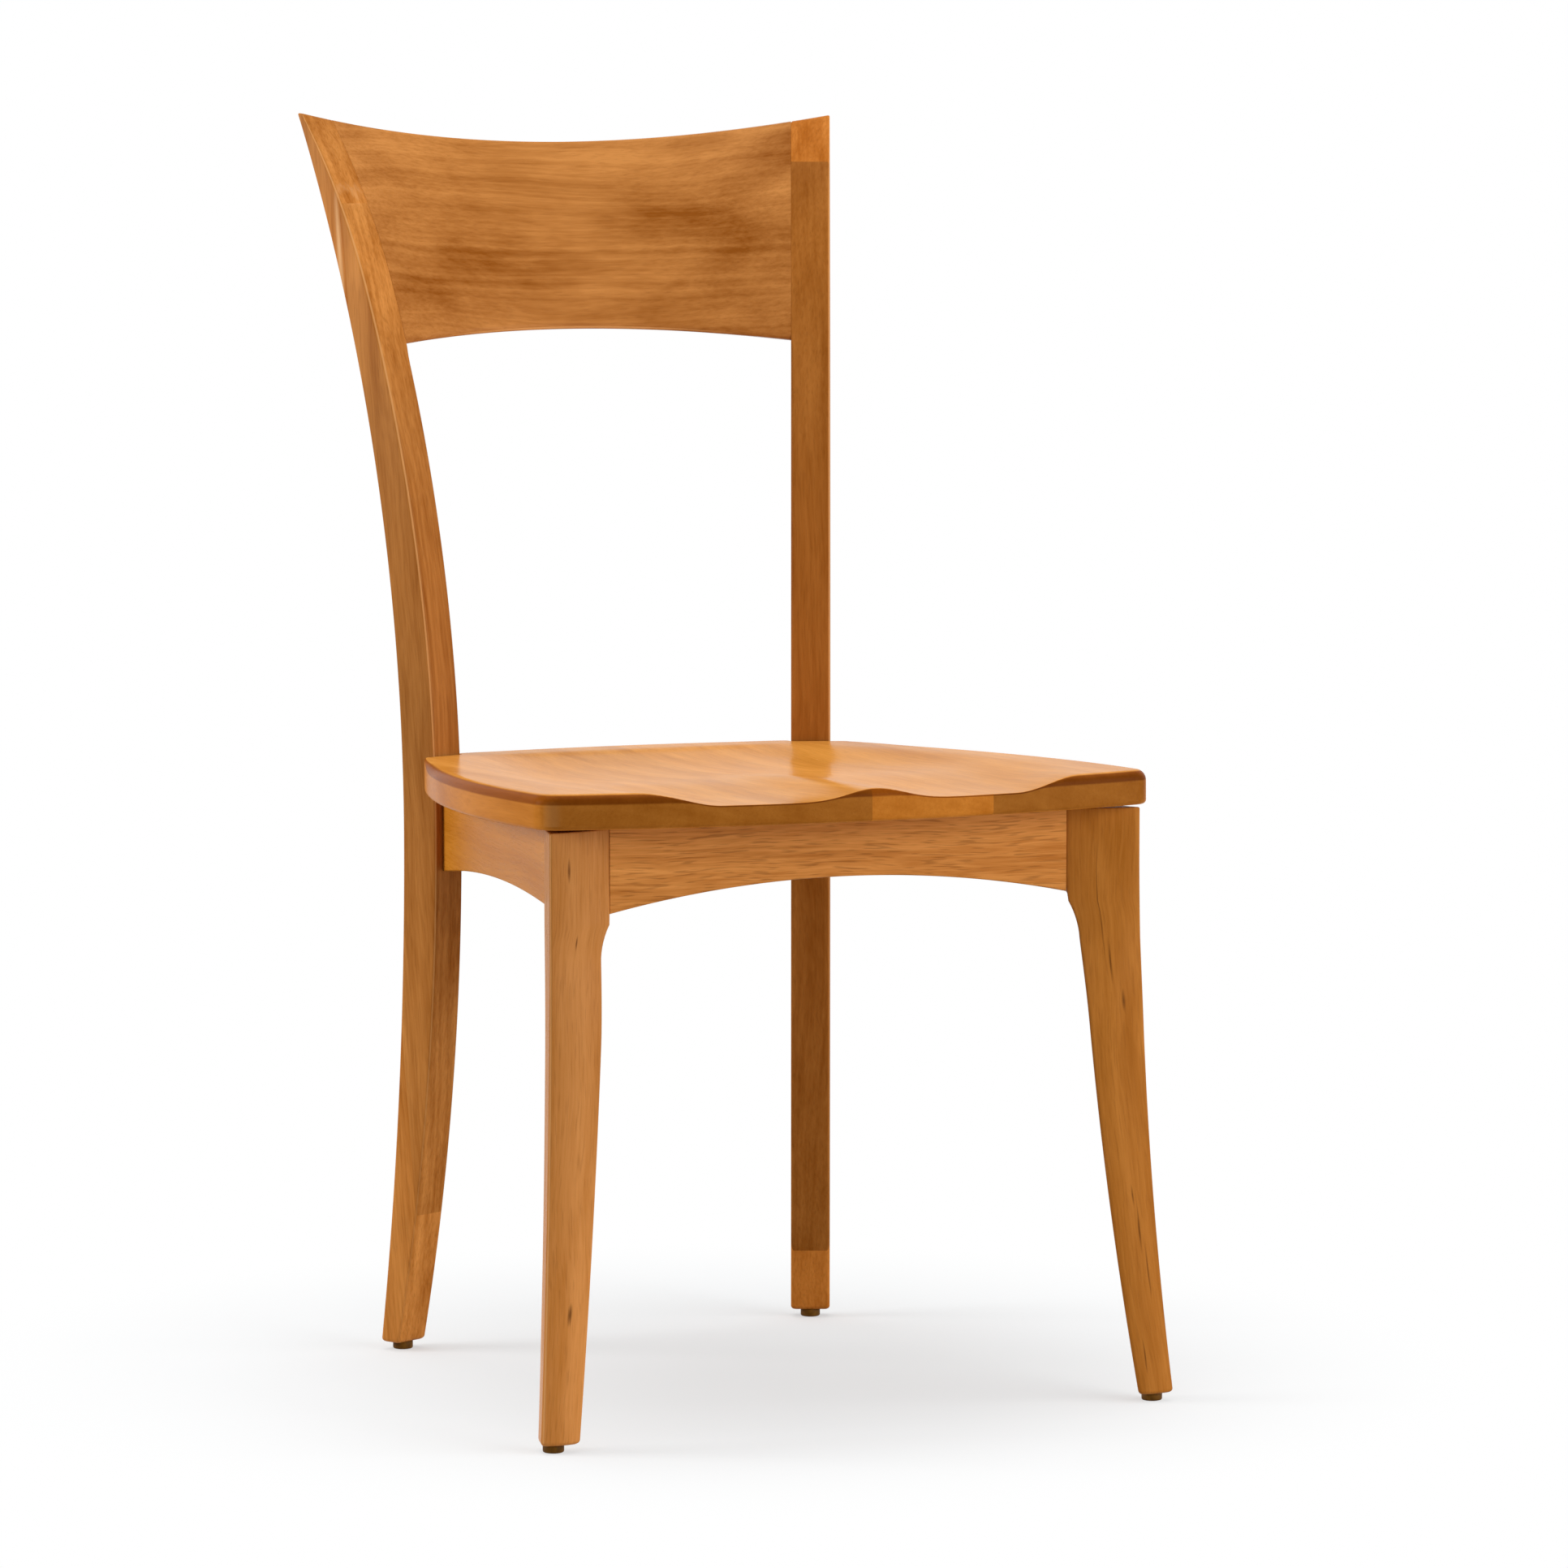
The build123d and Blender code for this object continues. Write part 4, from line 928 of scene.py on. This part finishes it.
GLIDE_STEPS = 48
GLIDE_PROFILE = np.array([(1.3, 6.0), (7.0, 6.0), (7.4, 5.8), (7.5, 5.4), (7.5, 1.6), (7.42, 1.05),
                          (7.15, 0.55), (6.7, 0.2), (6.0, 0.03), (5.6, 0.0), (3.4, 0.0), (3.2, 0.15),
                          (3.15, 0.4), (3.15, 1.79), (1.3, 1.8)])  # radius and height
LEG_GLIDE_SHARE = 0.55  # from the inner to the outer front corner of the foot
LEG_GLIDE_BACK = 10.0
leg_glide = LEG_FOOT[0] + (LEG_FOOT[1] - LEG_FOOT[0]) * LEG_GLIDE_SHARE + np.array((0.0, LEG_GLIDE_BACK))
post_glide = np.array(on_post((post_front(GLIDE_HEIGHT) + post_rear(GLIDE_HEIGHT)) / 2, POST_WIDTH / 2))


def moulded_plastic(name, dark, light):
    """Matt moulded plastic: two close tones and a fine pebbled bump."""
    material, tree, shader = new_material(name)
    place = add_node(tree, "TexCoord", {}).outputs["Object"]
    coarse = add_node(tree, "TexNoise", {"Vector": place, "Scale": 180.0, "Detail": 2.0}).outputs["Fac"]
    fine = add_node(tree, "TexNoise", {"Vector": place, "Scale": 2200.0, "Detail": 1.0}).outputs["Fac"]
    bump = add_node(tree, "Bump", {"Strength": 0.2, "Distance": 0.0003, "Height": fine})
    colour = add_ramp(tree, coarse, [(0.35, dark), (0.65, light)])
    rough = add_math(tree, "MULTIPLY_ADD", fine, 0.2, 0.42)
    fill(tree, shader, {"Base Color": colour, "Roughness": rough, "Normal": bump.outputs[0],
                        "Specular IOR Level": 0.12})
    return material


def glide_pad(name, centre, material, replaced):
    """The pad's profile turned about an upright line. The grid joins up both ways: round the line, and up the
    nail's hole from the last ring to the first."""
    turn = np.linspace(0, 2 * math.pi, GLIDE_STEPS, endpoint=False)[:, None]
    x = centre[0] + np.cos(turn) * GLIDE_PROFILE[:, 0]
    y = centre[1] + np.sin(turn) * GLIDE_PROFILE[:, 0]
    points = stacked(x, y, 0 * x + GLIDE_PROFILE[:, 1])
    index = np.arange(x.size).reshape(x.shape)
    beside = np.roll(index, -1, axis=0)
    quads = stacked(index, beside, np.roll(beside, -1, axis=1), np.roll(index, -1, axis=1))
    add_piece(name, points.reshape(-1, 3), [quads.reshape(-1, 4)], material, [replaced])


glide_plastic = moulded_plastic("glide_plastic", tone(88, 55, 5), tone(112, 73, 12))
for end, centre in {"front": leg_glide, "rear": post_glide}.items():
    for side, flip in {"right": 1.0, "left": -1.0}.items():
        place = centre * np.array((flip, 1.0))
        glide_pad(f"glide_{end}_{side}", place, glide_plastic, f"floor_glide_{end}_{side}")


# Camera, light and floor
# The camera stands where the photograph was taken from. One soft light hangs over the chair, one stands front
# right and one on the left a little behind; a pale floor takes the shadow and runs out into white.

SENSOR_WIDTH = 36.0
PHOTO_PIXELS = 1932.0
FOCAL_PIXELS = 8385.0
WHITE = grey(1.0)
WORLD_LIGHT = 0.34  # strength of the white surroundings as a light
FLOOR_HALF = 12.0
FLOOR_BOUNCE = grey(0.55)  # floor as it lights the chair, and as it is seen
FLOOR_SEEN = (0.87, 0.9, 0.915, 1.0)
FLOOR_FADE = {"From Min": 0.24, "From Max": 0.60, "To Min": 0.46, "To Max": 1.0}

bpy.context.scene.view_settings.view_transform = "Standard"
lens = bpy.data.cameras.new("photograph_view")
lens.sensor_width = SENSOR_WIDTH
lens.lens = FOCAL_PIXELS / PHOTO_PIXELS * SENSOR_WIDTH
camera = add_object("photograph_view", lens)
camera.location = (-2.092, -4.531457, 0.883)
camera.rotation_euler = (math.radians(84.86), 0.0, math.radians(-25.47))
bpy.context.scene.camera = camera


def soft_light(name, place, aim, size, watts):
    """Area light, so wide and so tall, turned so that its face looks from its place at the aim."""
    lamp = bpy.data.lights.new(name, "AREA")
    lamp.shape = "RECTANGLE"
    lamp.size, lamp.size_y = size
    lamp.energy = watts
    stand = add_object(name, lamp)
    stand.location = place
    gaze = np.array(aim) - np.array(place)
    flat = math.hypot(gaze[0], gaze[1])
    stand.rotation_euler = (math.atan2(flat, -gaze[2]), 0.0, math.atan2(-gaze[0], gaze[1]))


soft_light("top_light", place=(-0.2, 0.15, 2.9), aim=(0.0, 0.0, 0.4), size=(2.2, 2.2), watts=38.0)
soft_light("key_light", place=(1.8, -2.15, 1.05), aim=(0.0, 0.0, 0.45), size=(3.0, 1.7), watts=61.0)
soft_light("side_light", place=(-2.45, 0.9, 1.2), aim=(0.0, 0.0, 0.45), size=(1.2, 1.2), watts=36.0)


def seen_rays(tree):
    """1 for rays that show the surroundings, directly or in a gloss; 0 for rays that only light."""
    rays = add_node(tree, "LightPath", {}).outputs
    seen = add_math(tree, "MAXIMUM", rays["Is Camera Ray"], rays["Is Transmission Ray"])
    return add_math(tree, "MAXIMUM", seen, rays["Is Glossy Ray"])


world = bpy.data.worlds.new("studio")
world.use_nodes = True
bpy.context.scene.world = world
sky = world.node_tree
strength = add_math(sky, "MULTIPLY_ADD", seen_rays(sky), 1 - WORLD_LIGHT, WORLD_LIGHT)
fill(sky, sky.nodes["Background"], {"Color": WHITE, "Strength": strength})

floor_paint, tree, paint = new_material("floor_paint")
white = add_node(tree, "Emission", {"Color": WHITE, "Strength": 1.0})
away = add_vector(tree, "LENGTH", add_node(tree, "TexCoord", {}).outputs["Object"])
fade = add_node(tree, "MapRange", {"Value": away, **FLOOR_FADE}, interpolation_type="SMOOTHSTEP").outputs[0]
seen = seen_rays(tree)
floor_colour = add_ramp(tree, seen, [(0.0, FLOOR_BOUNCE), (1.0, FLOOR_SEEN)])
fill(tree, paint, {"Base Color": floor_colour, "Roughness": 0.9, "Specular IOR Level": 0.0})
white_share = add_math(tree, "MULTIPLY", fade, seen)
mixed = add_node(tree, "MixShader", {0: white_share, 1: paint.outputs[0], 2: white.outputs[0]})
fill(tree, tree.nodes["Material Output"], {"Surface": mixed.outputs[0]})
floor_mesh = bpy.data.meshes.new("floor")
floor_corners = [(x * FLOOR_HALF, y * FLOOR_HALF, 0.0) for x, y in ((-1, -1), (1, -1), (1, 1), (-1, 1))]
floor_mesh.from_pydata(floor_corners, [], [(0, 1, 2, 3)])
floor_mesh.materials.append(floor_paint)
floor = add_object("floor", floor_mesh)
